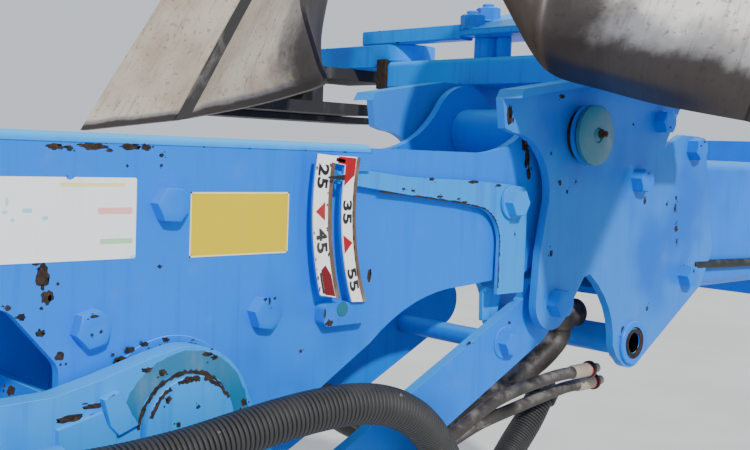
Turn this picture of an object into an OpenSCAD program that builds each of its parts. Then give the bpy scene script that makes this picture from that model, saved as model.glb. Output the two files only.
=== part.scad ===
// Front frame joint of a reversible moldboard plough: the frame arm, the main beam that swings on it,
// the working-width scale and its pointer, the adjusting linkage and the first pair of plough bodies.
// Millimetres. X runs back along the beam, Y across the joint, Z up. The origin is on the arm's front pivot.

/* [Frame arm] */
// Distance from the front pivot to the main pin
pin_x = 985; // [940:1:1030]
// Height of the main pin over the front pivot
pin_z = 195; // [180:1:215]
// Width over the two arm plates
arm_w = 198; // [180:1:202]
// Thickness of an arm plate
arm_t = 12; // [8:1:16]
// Height of the arm's top edge over the front pivot
arm_top = 169; // [160:1:175]
// Depth of the arm's bottom edge under the front pivot
arm_low = 215; // [200:1:230]
// Length along the arm at which the top cover ends
cover_end = 612; // [500:1:700]
// Thickness of the top cover
cover_t = 10; // [6:1:12]
// Radius of the eye round the front pivot
pivot_eye_r = 85; // [70:1:90]
// Diameter of the front pivot's bore
pivot_bore = 60; // [40:1:80]
// Radius of the ear round the main pin
ear_r = 70; // [60:1:74]
// Length of the concave run from the top edge up to the ear, measured from the main pin
ear_run = 185; // [170:1:200]
// Radius of the raised ring round the rocker's shaft
arm_ring_r = 84; // [79:1:88]

/* [Main pin] */
// Diameter of the main pin
main_pin_d = 50; // [40:1:55]
// Radial running clearance of the pins
pin_clear = 0.1; // [0.05:0.01:0.1]
// Outer diameter of the sleeve between the ears
sleeve_d = 70; // [62:1:80]
// Diameter of the main pin's head
pin_head_d = 82; // [70:1:90]
// Height of the main pin's head
pin_head_h = 26; // [18:1:30]

/* [Main beam] */
// Height of the beam
beam_h = 210; // [190:1:220]
// Gap between an arm plate and a side plate
side_gap = 14; // [11:1:18]
// Wall of the beam
beam_wall = 10; // [6:1:14]
// Corner radius of the beam
beam_r = 22; // [15:1:30]
// Height of the beam's underside against the front pivot
beam_z = -42; // [-60:1:-30]
// Distance from the front pivot to the beam's front end
beam_start = 1120; // [1100:1:1160]
// Distance from the front pivot to the beam's rear flange
beam_end = 1680; // [1500:1:1900]
// Thickness of the two side plates that carry the beam
side_t = 12; // [10:1:18]
// Width of the top lip that turns outward on each side plate
lip_w = 28; // [20:1:34]
// Side of the square rear flange
flange_w = 290; // [270:1:320]
// Thickness of the rear flange
flange_t = 22; // [16:1:30]
// Diameter of the holes in the rear flange
flange_hole_d = 21; // [17:1:23]

/* [Scale and pointer] */
// Distance from the front pivot to the pointer's pivot
point_x = 855; // [845:1:865]
// Height of the pointer's pivot over the front pivot
point_z = 102; // [95:1:110]
// Outer radius of the scale about the pointer's pivot
scale_r = 338; // [330:1:345]
// Width of the scale
scale_w = 50; // [46:1:54]
// Width of the slot between the two scale strips
scale_slot = 14; // [13:1:16]
// Thickness of the pointer's bar
pointer_t = 6; // [4:1:7]
// Thickness of the scale strips
strip_t = 2; // [1:0.5:3]
// Diameter of the pointer's pivot bolt
point_bolt_d = 20; // [16:1:24]

/* [Linkage] */
// Thickness of a lever
lever_t = 15; // [12:1:16]
// Width of a lever
lever_w = 76; // [64:1:80]
// Distance of a lever's outer face from the middle of the joint
lever_y = 97; // [95:1:98]
// Diameter of the linkage pins
link_pin_d = 30; // [24:1:34]
// Thickness of the rocker's cheeks
rocker_t = 26; // [20:1:30]
// Radius of the rocker's boss
rocker_r = 78; // [70:1:84]
// Diameter of the rocker's shaft
rocker_shaft_d = 45; // [35:1:50]

/* [Body bracket] */
// Height of the bracket bar's underside over the front pivot
bar_z = 270; // [269:1:275]
// Thickness of the bracket bar
bar_t = 44; // [36:1:46]
// Width of the bracket bar along the beam
bar_w = 110; // [90:1:130]
// Distance from the front pivot to the bracket bar's front face
bar_x = 1030; // [1020:1:1040]
// Length of the bracket bar on each side of the middle
bar_l = 310; // [280:1:330]
// Thickness of a leg
leg_t = 30; // [26:1:34]
// Thickness of the bracket's top wedge at its front
cap_front_t = 11; // [8:1:20]
// Thickness of the bracket's top wedge at its rear
cap_rear_t = 47; // [30:1:60]

/* [Plough bodies] */
// Thickness of a moldboard
board_t = 9; // [7:1:12]
// Thickness of a share
share_t = 11; // [8:1:14]

/* [Hoses] */
// Diameter of the corrugated sleeve
sleeve_hose_d = 44; // [40:1:46]
// Diameter of the two hoses with couplers
hose_d = 18; // [14:1:20]
// Diameter of the thick hoses
thick_hose_d = 34; // [28:1:36]

/* [Hidden] */

blue = "#2f86e0";
deep_blue = "#2467b8";
steel = "#9a9188";
dark_steel = "#4b4038";
$fn = 64;
// Walls of the tubes round the front pivot and the rocker's shaft
pivot_wall = 12;
rocker_tube_wall = 9;
// Gap between the arm, the pointer and the scale
pointer_gap = 5;
// Small overlap with which a cutter passes through a face
cut = 1;
arm_y = arm_w / 2;
side_in = arm_y + side_gap;
side_out = side_in + side_t;
beam_w = 2 * side_in;
beam_mid_z = beam_z + beam_h / 2;
plate_top = arm_top - 4;
// The concave run touches the plate's top edge and the ear
ear_rise = pin_z - plate_top;
ear_fillet_r = (ear_run ^ 2 + ear_rise ^ 2 - ear_r ^ 2) / (2 * (ear_r + ear_rise));
ear_fillet_at = [pin_x - ear_run, plate_top + ear_fillet_r];
ring_h = 3;
// Faces of the pointer and the scale, nearest first, and the middle of the scale's slot
pointer_y = -arm_y - pointer_gap - pointer_t;
band_t = 4;
scale_y = pointer_y - pointer_gap - band_t;
slot_mid = scale_r - scale_w / 2;
scale_x = point_x - scale_r;
strip_gap = 1;
// Inner face of the pointer's tail, inside the levers
tail_y = -70;
tab_w = 4;
point_head_af = 32;
point_washer_d = 44;
// The levers' pins and the draft eye of the side plates, measured from the main pin
lever_at = [-48, -228];
eye_at = [152, -303];
lobe_r = 38;
eye_bush_d = 44;
lip_t = 10;
// The rocker's shaft and the pin that joins the rocker to the levers
rocker_at = [345, -110];
rocker_end = [475, -280];
rocker_front = [60, -112];
rocker_front_d = 84;
rocker_end_d = 80;
shaft_head_d = 102;
shaft_head_h = 10;
// The cross tube of the levers
lever_tube_at = [860, -85];
lever_tube_d = 26;
lever_spigot_d = 18;
lever_end = [937, -58];
lever_lobe_d = 56;
// Distance of the rocker's cheeks from the middle, and the clearance round its pin in the levers' eyes
rocker_y = arm_y + 8;
open_clear = 5.5;
// The bracket bar's rounded upper edges and its worn end plates
bar_round = 10;
bar_end_t = 22;
bar_end_low = 2;
// The legs' inner and outer ends, with the part beyond the bar that is thicker by leg_step
leg_start = 270;
leg_end = 520;
leg_step = 10;
leg_in = 5;
// The wedge's half length, and the spacers as distance from the middle and diameter
cap_l = 150;
spacers = [[130, 40], [95, 24]];
link_w = 30;
link_t = 24;
link_end = 380;
flange_hole_at = 125;
// Height of the frog's lower side, which carries the landside
frog_low = 225;

// Routes of the hoses
sleeve_route = [[190, -180, -122], [250, -180, -122], [310, -180, -119], [370, -180, -112],
                [425, -180, -106], [475, -180, -103], [525, -180, -104], [572, -178, -113],
                [615, -172, -131], [655, -161, -156], [692, -147, -186], [728, -130, -217],
                [768, -110, -249], [815, -86, -278], [868, -60, -298], [925, -36, -304],
                [982, -14, -294], [1034, 4, -272], [1076, 12, -245], [1106, 16, -215]];
upper_route = [[530, -62, -128], [570, -62, -128], [612, -62, -136], [652, -62, -153], [690, -62, -178],
               [725, -62, -202], [758, -62, -216], [790, -62, -217], [820, -62, -208], [860, -62, -192],
               [905, -62, -176], [960, -62, -166], [1018, -62, -160], [1048, -62, -158],
               [1079, -62, -158]];
lower_route = [[530, -36, -128], [570, -36, -128], [612, -36, -138], [652, -36, -158], [690, -36, -185],
               [725, -36, -212], [760, -36, -231], [800, -36, -237], [842, -36, -229], [900, -36, -214],
               [970, -36, -204], [1030, -36, -196], [1080, -36, -190], [1105, -36, -188],
               [1130, -36, -188]];
thick_route = [[530, 2, -127], [580, 2, -127], [630, 2, -142], [680, 2, -168], [730, 2, -196],
               [785, 2, -216], [840, 2, -222], [893, 1, -216], [942, -3, -200], [982, -12, -178],
               [1014, -22, -157], [1040, -33, -136], [1058, -41, -116], [1066, -44, -103],
               [1066, -44, -92]];
inner_route = [[530, 50, -127], [580, 50, -127], [630, 50, -144], [680, 50, -174], [730, 50, -206],
               [785, 50, -229], [840, 50, -236], [893, 50, -228], [942, 50, -212], [985, 48, -195],
               [1022, 44, -178], [1052, 40, -165], [1075, 38, -158], [1092, 37, -156],
               [1112, 37, -156]];
// The clamp inside the arm, the bracket that holds the sleeve's front end, and the couplers
clamp_t = 10;
boot_d = 60;
boot_l = 34;
coupler_d = 21;
coupler_l = 40;
nipple_d = 15;
nipple_l = 18;
elbow_d = 42;
elbow_rise = elbow_d / 2;
elbow_l = 40;
sleeve_end_d = 52;
sleeve_end_l = 24;

function unit(a) = [cos(a), sin(a)];
function arc(c, r, a0, a1, n) = [for (i = [0:n]) c + r * unit(a0 + (a1 - a0) * i / n)];
function from_pin(p) = [pin_x, pin_z] + p;

// Extrudes an outline drawn in X and Z across the joint, from y0 to y1
module across(y0, y1) {
    translate([0, y1, 0]) rotate([90, 0, 0]) linear_extrude(y1 - y0) children();
}

// A round bar or hole across the joint
module round_y(p, d, y0, y1) {
    translate([p.x, y0, p.y]) rotate([-90, 0, 0]) cylinder(h = y1 - y0, d = d);
}

module arm_plate(y0, y1) {
    difference() {
        union() {
            across(y0, y1) polygon(concat(
                [[-10, pivot_eye_r - 1], [110, arm_top - cover_t], [cover_end, arm_top - cover_t]],
                [[cover_end, plate_top], [ear_fillet_at.x, plate_top], ear_touch()],
                [[pin_x + ear_r, pin_z], [pin_x + ear_r, pin_z - 30], [pin_x - 25, 34], [pin_x - 85, 4]],
                arc([775, -245], 240, 90, 130, 8),
                [[549, -103], [440, -186], [400, -arm_low], [190, -arm_low], [140, -185], [110, -92]],
                [[20, 2 - pivot_eye_r]]));
            round_y([0, 0], 2 * pivot_eye_r, y0, y1);
            round_y([pin_x, pin_z], 2 * ear_r, y0, y1);
        }
        round_y(ear_fillet_at, 2 * ear_fillet_r, y0 - cut, y1 + cut);
        across(y0 - cut, y1 + cut) arm_window();
        round_y([0, 0], pivot_bore + 2 * pivot_wall, y0 - cut, y1 + cut);
        round_y([pin_x, pin_z], main_pin_d + 2, y0 - cut, y1 + cut);
        round_y(rocker_at, rocker_shaft_d + 2 * rocker_tube_wall, y0 - cut, y1 + cut);
    }
}

// The point of the ear at which the concave run touches it
function ear_touch() =
    let (way = ear_fillet_at - [pin_x, pin_z]) [pin_x, pin_z] + ear_r * way / norm(way);

module arm_window() {
    polygon(concat(arc([170, -8], 20, 45, 180, 7), arc([170, -110], 20, 180, 270, 5),
                   arc([209, -120], 20, 270, 360, 5), arc([209, -52], 20, 0, 45, 3)));
}

module arm_plate_near() {
    color(blue) difference() {
        arm_plate(-arm_y, -arm_y + arm_t);
        round_y([point_x, point_z], point_bolt_d, -arm_y - cut, -arm_y + arm_t + cut);
    }
}

module arm_plate_far() { color(blue) arm_plate(arm_y - arm_t, arm_y); }

module arm_cover() {
    color(blue) translate([110, 0, arm_top - cover_t]) rotate([90, 0, 90]) linear_extrude(cover_end - 110) {
        translate([-arm_y + cover_t, 0]) square([arm_w - 2 * cover_t, cover_t]);
        for (s = [-1, 1]) intersection() {
            translate([s * (arm_y - cover_t), 0]) circle(r = cover_t);
            translate([s * (arm_y - cover_t / 2) - cover_t / 2, 0]) square(cover_t);
        }
    }
}

module arm_webs() {
    color(deep_blue) {
        translate([250, -arm_y + arm_t, -arm_low + 40]) cube([10, arm_w - 2 * arm_t, 90]);
        translate([cover_end - 30, -arm_y + arm_t, -20])
            cube([10, arm_w - 2 * arm_t, arm_top - cover_t + 20]);
        translate([250, -arm_y + arm_t, 20]) cube([10, arm_w - 2 * arm_t, arm_top - cover_t - 20]);
    }
}

module pivot_tube() {
    color(blue) difference() {
        round_y([0, 0], pivot_bore + 2 * pivot_wall, -arm_y - 6, arm_y + 6);
        round_y([0, 0], pivot_bore, -arm_y - 8, arm_y + 8);
    }
}

module main_sleeve() {
    color(blue) difference() {
        round_y([pin_x, pin_z], sleeve_d, -arm_y + arm_t, arm_y - arm_t);
        round_y([pin_x, pin_z], main_pin_d + 2 * pin_clear, -arm_y, arm_y);
    }
}

module rocker_tube() {
    color(blue) difference() {
        union() {
            round_y(rocker_at, rocker_shaft_d + 2 * rocker_tube_wall, -arm_y - 5, arm_y + 5);
            round_y(rocker_at, 2 * arm_ring_r, -arm_y - ring_h, -arm_y);
            round_y(rocker_at, 2 * arm_ring_r, arm_y, arm_y + ring_h);
        }
        round_y(rocker_at, rocker_shaft_d + 2 * pin_clear, -arm_y - 8, arm_y + 8);
    }
}

module scale_band(r0, r1, a0, a1) {
    translate([point_x, point_z])
        polygon(concat(arc([0, 0], r1, 180 - a0, 180 - a1, 16), arc([0, 0], r0, 180 - a1, 180 - a0, 16)));
}

module scale_plate() {
    color(blue) {
        difference() {
            across(scale_y, scale_y + band_t) scale_band(scale_r - scale_w - 1, scale_r + 1, 11, -24);
            across(scale_y - cut, scale_y + band_t + cut)
                scale_band(slot_mid - scale_slot / 2, slot_mid + scale_slot / 2, 8, -21);
        }
        across(scale_y + band_t, -arm_y) translate([scale_x + 15, -36]) square([64, 28]);
        across(scale_y + band_t, -arm_y) translate([scale_x + 38, arm_top - 23]) square([40, 11]);
    }
}

module scale_strips() {
    color("#f2f2ee") across(scale_y - strip_t, scale_y) {
        scale_band(slot_mid + scale_slot / 2 + strip_gap, scale_r, 9.5, -19);
        scale_band(scale_r - scale_w, slot_mid - scale_slot / 2 - strip_gap, 9.5, -22);
    }
}

module pointer_pin() {
    color(blue) {
        round_y([point_x, point_z], point_bolt_d, pointer_y - 1, -arm_y + arm_t);
        round_y([point_x, point_z], point_washer_d, pointer_y - 5, pointer_y - 1);
        across(pointer_y - 18, pointer_y - 5)
            translate([point_x, point_z]) circle(d = point_head_af / cos(30), $fn = 6);
    }
}

// The pointer's bar and leg, its tab in the scale's slot, and the tail that steps in under the arm
module pointer() {
    tip = point_x - slot_mid - 1;
    color(blue) difference() {
        union() {
            across(pointer_y, pointer_y + pointer_t) polygon(concat(
                [[tip, 141], [tip + 39, 141], [664, 133], [772, 130], [841, 126], [883, 122], [890, 112]],
                [[890, -18]],
                [[835, -18], [835, 30]], arc([787, 48], 48, 0, 75, 6), [[755, 102], [669, 111]],
                [[tip + 39, 122], [tip + 39, 131], [tip, 131]]));
            across(scale_y - strip_t - 2, pointer_y)
                translate([point_x - slot_mid - tab_w / 2, 125]) square([tab_w, 14]);
            across(pointer_y, tail_y) translate([846, -18]) square([40, pointer_t]);
            across(tail_y - pointer_t, tail_y) polygon([[846, -18], [848, -58], [878, -58], [886, -18]]);
        }
        round_y([point_x, point_z], point_bolt_d + 2 * pin_clear,
                pointer_y - cut, pointer_y + pointer_t + cut);
    }
}

module rocker_cheek(y0, y1) {
    color(blue) difference() {
        union() {
            round_y(rocker_at, 2 * rocker_r, y0, y1);
            round_y(rocker_front, rocker_front_d, y0, y1);
            round_y(rocker_end, rocker_end_d, y0, y1);
            across(y0, y1) polygon([rocker_front + [0, 41], [160, -64], [210, -63], [255, -53], [309, -38],
                                    rocker_at + [0, rocker_r], rocker_at - [0, rocker_r], [300, -180],
                                    [240, -170], [160, -160], rocker_front - [0, 41]]);
            across(y0, y1) polygon([rocker_at + [62, 47], rocker_end + [32, 24], rocker_end + [-32, -24],
                                    rocker_at + [-62, -47]]);
        }
        round_y(rocker_at, rocker_shaft_d, y0 - cut, y1 + cut);
        round_y(rocker_front, link_pin_d, y0 - cut, y1 + cut);
        round_y(rocker_end, link_pin_d, y0 - cut, y1 + cut);
    }
}

// The keeper tab beside the shaft's head, and the packing plate under it
keeper = [[252, -70], [268, -64], [288, -98], [268, -105], [259, -95]];
keeper_plate = [[210, -92], [219, -90], [254, -82], [259, -95], [268, -105], [268, -150], [210, -150]];
keeper_t = 4;

module rocker_near() {
    face = -rocker_y - rocker_t;
    rocker_cheek(face, -rocker_y);
    color(blue) {
        across(face - keeper_t, face) polygon(keeper_plate);
        across(face - 2 * keeper_t, face) polygon(keeper);
    }
}

module rocker_far() { rocker_cheek(rocker_y, rocker_y + rocker_t); }

module rocker_pin() {
    color(blue) round_y(rocker_end, link_pin_d, -rocker_y - rocker_t, rocker_y + rocker_t);
}

module rocker_shaft() {
    color(blue) {
        round_y(rocker_at, rocker_shaft_d, -rocker_y - rocker_t, rocker_y + rocker_t);
        round_y(rocker_at, shaft_head_d, -rocker_y - rocker_t - shaft_head_h, -rocker_y - rocker_t);
        round_y(rocker_at, shaft_head_d, rocker_y + rocker_t, rocker_y + rocker_t + shaft_head_h);
    }
}

module lever(y0, y1) {
    way = (lever_end - rocker_end) / norm(lever_end - rocker_end);
    edge = [-way.y, way.x] * lever_w / 2;
    color(blue) difference() {
        union() {
            round_y(from_pin(lever_at), lever_lobe_d, y0, y1);
            round_y(lever_end, lever_w, y0, y1);
            round_y(rocker_end, lever_w + 16, y0, y1);
            across(y0, y1)
                polygon([lever_end + edge, lever_end - edge, rocker_end - edge, rocker_end + edge]);
        }
        round_y(from_pin(lever_at), link_pin_d + 2 * pin_clear, y0 - cut, y1 + cut);
        round_y(lever_tube_at, lever_spigot_d, y0 - cut, y1 + cut);
        round_y(rocker_end, link_pin_d + 2 * open_clear, y0 - cut, y1 + cut);
    }
}

module lever_near() { lever(-lever_y, -lever_y + lever_t); }

module lever_far() { lever(lever_y - lever_t, lever_y); }

module lever_tube() {
    color(blue) {
        round_y(lever_tube_at, lever_tube_d, -lever_y + lever_t, lever_y - lever_t);
        round_y(lever_tube_at, lever_spigot_d, -lever_y, lever_y);
    }
}

// The top edge of a side plate, which turns outward into the lip
lip_line = [[811, 234], [818, 246], [961, bar_z], [1160, bar_z], [1240, bar_z - 8]];

// A side plate on the far side
module side_plate() {
    color(blue) difference() {
        union() {
            round_y(from_pin(lever_at), 2 * lobe_r, side_in, side_out);
            round_y(from_pin(eye_at), 2 * lobe_r, side_in, side_out);
            across(side_in, side_out) polygon(concat(lip_line,
                [[1240, 248], [1197, 183], [1250, 205], [1303, 204], [1324, 184], [1363, 22], [1331, -34]],
                [from_pin(eye_at) + [27, -27], from_pin(eye_at) + [-19, -32], from_pin(eye_at) + [-39, -17]],
                [from_pin(eye_at) + [-49, 0], [1086, -87], [1081, -70], [1072, -51], [1057, -31]],
                [[1041, -15], [1020, 1], [1006, -3], from_pin(lever_at) + [35, -15], from_pin(lever_at)],
                [from_pin(lever_at) + [-38, 0], [903, 34]], arc([837, 112], 80, -5, 90, 10), [[818, 197]]));
            across(side_in, side_out + lip_w) polygon(concat(lip_line,
                [for (i = [4, 3, 2]) lip_line[i] - [0, lip_t]], [[823, 237]]));
        }
        round_y([pin_x, pin_z], main_pin_d, side_in - cut, side_out + cut);
        round_y(from_pin(lever_at), link_pin_d, side_in - cut, side_out + cut);
        round_y(from_pin(eye_at), eye_bush_d, side_in - cut, side_out + cut);
    }
}

module side_plate_near() { mirror([0, 1, 0]) side_plate(); }

module side_plate_far() { side_plate(); }

module main_pin() {
    color(blue) {
        round_y([pin_x, pin_z], main_pin_d, -side_out, side_out);
        round_y([pin_x, pin_z], pin_head_d, -side_out - pin_head_h, -side_out);
        round_y([pin_x, pin_z], pin_head_d, side_out, side_out + pin_head_h);
    }
}

module lever_pin() {
    color(blue) round_y(from_pin(lever_at), link_pin_d, lever_y - lever_t, side_out);
}

module lever_pins() {
    lever_pin();
    mirror([0, 1, 0]) lever_pin();
}

module eye_bush() {
    color(blue) difference() {
        round_y(from_pin(eye_at), eye_bush_d, -side_out - 4, side_out + 4);
        round_y(from_pin(eye_at), link_pin_d, -side_out - 8, side_out + 8);
    }
}

module beam_profile(w, h, r) {
    corners = [[1, 1], [-1, 1], [-1, -1], [1, -1]];
    polygon([for (q = [0:3])
        each arc([corners[q].x * (w / 2 - r), corners[q].y * (h / 2 - r)], r, 90 * q, 90 * q + 90, 6)]);
}

module main_beam() {
    color(blue) translate([beam_start, 0, beam_mid_z]) rotate([90, 0, 90])
        linear_extrude(beam_end - beam_start) difference() {
            beam_profile(beam_w, beam_h, beam_r);
            beam_profile(beam_w - 2 * beam_wall, beam_h - 2 * beam_wall, beam_r - beam_wall);
        }
}

module beam_flange() {
    color(blue) translate([beam_end, 0, beam_mid_z]) rotate([90, 0, 90]) difference() {
        linear_extrude(flange_t) beam_profile(flange_w, flange_w, 20);
        for (sx = [-1, 1], sy = [-1, 1])
            translate([sx * flange_hole_at, sy * flange_hole_at, -cut])
                cylinder(h = flange_t + 2 * cut, d = flange_hole_d);
    }
}

module bracket_bar() {
    color(blue) translate([bar_x, -bar_l, bar_z]) {
        cube([bar_w, 2 * bar_l, bar_t - bar_round]);
        translate([bar_round, 0, 0]) cube([bar_w - 2 * bar_round, 2 * bar_l, bar_t]);
        for (x = [bar_round, bar_w - bar_round])
            translate([x, 0, bar_t - bar_round]) rotate([-90, 0, 0]) cylinder(h = 2 * bar_l, r = bar_round);
    }
}

// A worn plate on each end of the bar, with a lip that stands up in front of the leg
module bar_ends() {
    color(dark_steel) for (s = [0, 1]) mirror([0, s, 0]) translate([bar_x - 4, bar_l, bar_z - bar_end_low]) {
        cube([bar_w, bar_end_t, bar_t - leg_step - 1]);
        cube([8, bar_end_t, bar_t + 6]);
    }
}

// The wedge over the bar, its slope up to the rear
module bracket_cap() {
    base = bar_z + bar_t + leg_t + 4;
    color(blue) across(-cap_l, cap_l) polygon([[bar_x, base], [bar_x + bar_w, base],
        [bar_x + bar_w, base + cap_rear_t], [bar_x, base + cap_front_t]]);
}

module bracket_spacers() {
    color(blue) for (row = spacers, s = [-1, 1])
        translate([bar_x + 45, s * row[0], bar_z + bar_t]) cylinder(h = leg_t + 4, d = row[1]);
}

// A bar on each side from the wedge out over the leg
module bracket_links() {
    color(deep_blue) for (s = [0, 1]) mirror([0, s, 0])
        translate([bar_x + leg_in, cap_l, bar_z + bar_t + leg_t]) cube([link_w, link_end - cap_l, link_t]);
}

// A leg lies on the bar, is round at its inner end and grows thicker beyond the bar's end
module leg() {
    leg_w = bar_w - 2 * leg_in;
    color(blue) translate([bar_x + leg_in, 0, bar_z + bar_t]) {
        translate([leg_w / 2, leg_start + leg_w / 2, 0]) cylinder(h = leg_t, d = leg_w);
        translate([0, leg_start + leg_w / 2, 0]) cube([leg_w, leg_end - leg_start - leg_w / 2, leg_t]);
        translate([0, bar_l + bar_end_t + 2, -leg_step])
            cube([leg_w, leg_end - bar_l - bar_end_t - 2, leg_step]);
    }
}

module leg_near() { mirror([0, 1, 0]) leg(); }

module leg_far() { leg(); }

// Sections of a moldboard, the topmost first: its height on the body as y, then the points x, z of the
// front edge, the nose, the lower and the upper middle and the wing
board_rows = [[180, [735, 342], [727, 372], [735, 425], [775, 512], [840, 600]],
              [195, [775, 284], [763, 316], [768, 376], [802, 490], [866, 604]],
              [211, [800, 259], [786, 292], [790, 352], [826, 478], [893, 608]],
              [278, [796, 242], [783, 272], [797, 330], [850, 462], [925, 612]],
              [355, [778, 225], [768, 255], [791, 312], [860, 448], [955, 612]],
              [420, [763, 214], [762, 244], [791, 300], [866, 430], [975, 608]],
              [485, [747, 204], [764, 233], [794, 284], [869, 411], [985, 600]]];
share_rows = [[487, [746, 203], [763, 232], [793, 283], [868, 410], [984, 599]],
              [640, [642, 178], [660, 207], [694, 261], [791, 411], [890, 560]]];

// A plate of thickness t, along X, between two surfaces through the sections' points
module plate_through(rows, shift, t) {
    n = len(rows);
    m = len(rows[0]) - 1;
    front = [for (r = rows, i = [1:m]) [r[i].x + shift, r[0], r[i].y]];
    back = [for (r = rows, i = [1:m]) [r[i].x + shift + t, r[0], r[i].y]];
    function f(i, j) = i * m + j;
    function b(i, j) = n * m + i * m + j;
    function quad(p, q, r, s) = [[p, q, r], [p, r, s]];
    polyhedron(points = concat(front, back), faces = concat(
        [for (i = [0:n - 2], j = [0:m - 2]) each quad(f(i, j), f(i + 1, j), f(i + 1, j + 1), f(i, j + 1))],
        [for (i = [0:n - 2], j = [0:m - 2]) each quad(b(i, j), b(i, j + 1), b(i + 1, j + 1), b(i + 1, j))],
        [for (i = [0:n - 2]) each quad(f(i, 0), b(i, 0), b(i + 1, 0), f(i + 1, 0))],
        [for (i = [0:n - 2]) each quad(f(i, m - 1), f(i + 1, m - 1), b(i + 1, m - 1), b(i, m - 1))],
        [for (j = [0:m - 2]) each quad(f(0, j), f(0, j + 1), b(0, j + 1), b(0, j))],
        [for (j = [0:m - 2]) each quad(f(n - 1, j), b(n - 1, j), b(n - 1, j + 1), f(n - 1, j + 1))]));
}

module board() { color(steel) plate_through(board_rows, 0, board_t); }

module board_near() { mirror([0, 1, 0]) board(); }

module board_far() { board(); }

module share() { color(steel) plate_through(share_rows, 0, share_t); }

module share_near() { mirror([0, 1, 0]) share(); }

module share_far() { share(); }

module landside() {
    color(steel) translate([820, 500, frog_low - 12]) cube([380, 90, 12]);
}

module landside_near() { mirror([0, 1, 0]) landside(); }

module landside_far() { landside(); }

// The frog carries the moldboard, the share and the landside on the end of the leg
module frog() {
    leg_low = bar_z + bar_t - leg_step;
    color(dark_steel) difference() {
        union() {
            translate([700, 420, frog_low]) cube([400, 170, 20]);
            translate([760, 400, leg_low - 20]) cube([bar_x + bar_w - 765, leg_end - 400, 20]);
            translate([960, 420, frog_low]) cube([25, 100, leg_low - frog_low]);
        }
        plate_through(board_rows, -400, 400 + board_t + 0.3);
        plate_through(share_rows, -400, 400 + share_t + 0.3);
        plate_through([board_rows[6], share_rows[0]], -400, 400 + share_t + 0.3);
    }
}

module frog_near() { mirror([0, 1, 0]) frog(); }

module frog_far() { frog(); }

// A hose of ten sides along a route, with flat ends
module hose(route, d) {
    n = len(route);
    sides = 10;
    function along(i) =
        let (way = route[min(i + 1, n - 1)] - route[max(i - 1, 0)]) way / norm(way);
    function left(i) = let (v = cross([0, 1, 0], along(i))) v / norm(v);
    function ring(i) = [for (k = [0:sides - 1]) route[i]
        + d / 2 * (cos(360 * k / sides) * left(i) + sin(360 * k / sides) * cross(along(i), left(i)))];
    polyhedron(points = [for (i = [0:n - 1]) each ring(i)], faces = concat(
        [for (i = [0:n - 2], k = [0:sides - 1]) let (p = i * sides + k, q = i * sides + (k + 1) % sides)
            each [[p, p + sides, q + sides], [p, q + sides, q]]],
        [[for (k = [0:sides - 1]) k], [for (k = [sides - 1:-1:0]) (n - 1) * sides + k]]));
}

module hose_sleeve() { color("#2b2a2b") hose(sleeve_route, sleeve_hose_d); }

module hose_upper() { color("#6d6a68") hose(upper_route, hose_d); }

module hose_lower() { color("#6d6a68") hose(lower_route, hose_d); }

module hose_thick() { color("#242223") hose(thick_route, thick_hose_d); }

module hose_inner() { color("#242223") hose(inner_route, thick_hose_d); }

// A round piece that lies along X from a point
module round_x(p, d, l) { translate(p) rotate([0, 90, 0]) cylinder(h = l, d = d); }

// The cup that holds the sleeve's front end, on a strut out from under the arm
module hose_bracket() {
    mouth = sleeve_route[0];
    color(blue) {
        round_x(mouth - [boot_l, 0, 0], boot_d, boot_l);
        translate([262, mouth.y - 14, -arm_low]) cube([50, -arm_y - mouth.y + 14, 8]);
        across(mouth.y - 4, mouth.y + 4) polygon([[312, -arm_low + 7], [262, -arm_low + 1], [160, -170],
            [160, mouth.z], [188, mouth.z], [188, mouth.z - 30], [312, mouth.z - 50]]);
    }
}

// The plate between the arm's plates in which the inner hoses end
module hose_clamp() {
    start = upper_route[0].x;
    color(deep_blue) translate([start - clamp_t, -arm_y + arm_t, -150])
        cube([clamp_t, 2 * (arm_y - arm_t), 60]);
}

module sleeve_boot() {
    n = len(sleeve_route);
    tip = sleeve_route[n - 1];
    way = tip - sleeve_route[n - 2];
    color("#242223") translate(tip) rotate([0, acos(way.z / norm(way)), atan2(way.y, way.x)])
        cylinder(h = sleeve_end_l, d = sleeve_end_d);
}

module coupler(p) {
    round_x(p, coupler_d, coupler_l);
    round_x(p + [coupler_l, 0, 0], coupler_d + 4, 8);
    round_x(p + [coupler_l + 8, 0, 0], nipple_d, nipple_l);
}

module hose_couplers() {
    color("#b9ad9c") {
        coupler(upper_route[len(upper_route) - 1]);
        coupler(lower_route[len(lower_route) - 1]);
        round_x(inner_route[len(inner_route) - 1], thick_hose_d + 4, 16);
    }
}

// The rubber elbow on the end of the thick hose, which turns towards the beam's open end
module hose_elbow() {
    tip = thick_route[len(thick_route) - 1];
    color("#1d1b1c") {
        translate(tip) cylinder(h = elbow_rise, d = elbow_d);
        translate(tip + [0, 0, elbow_rise]) sphere(d = elbow_d);
        round_x(tip + [0, 0, elbow_rise], elbow_d, elbow_l);
    }
}

arm_plate_near();
arm_plate_far();
arm_cover();
arm_webs();
pivot_tube();
main_sleeve();
rocker_tube();
scale_plate();
scale_strips();
pointer_pin();
pointer();
rocker_near();
rocker_far();
rocker_pin();
rocker_shaft();
lever_near();
lever_far();
lever_tube();
side_plate_near();
side_plate_far();
main_pin();
lever_pins();
eye_bush();
main_beam();
beam_flange();
bracket_bar();
bar_ends();
bracket_cap();
bracket_spacers();
bracket_links();
leg_near();
leg_far();
frog_near();
frog_far();
board_near();
board_far();
share_near();
share_far();
landside_near();
landside_far();
hose_bracket();
hose_clamp();
hose_sleeve();
sleeve_boot();
hose_upper();
hose_lower();
hose_thick();
hose_inner();
hose_couplers();
hose_elbow();
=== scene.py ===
"""Looks of the plough's frame joint: worn paint, bolts, scale, labels, hoses and steel on its frame."""

import math
import random

import bmesh
import bpy
from mathutils import Matrix, Vector


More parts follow.
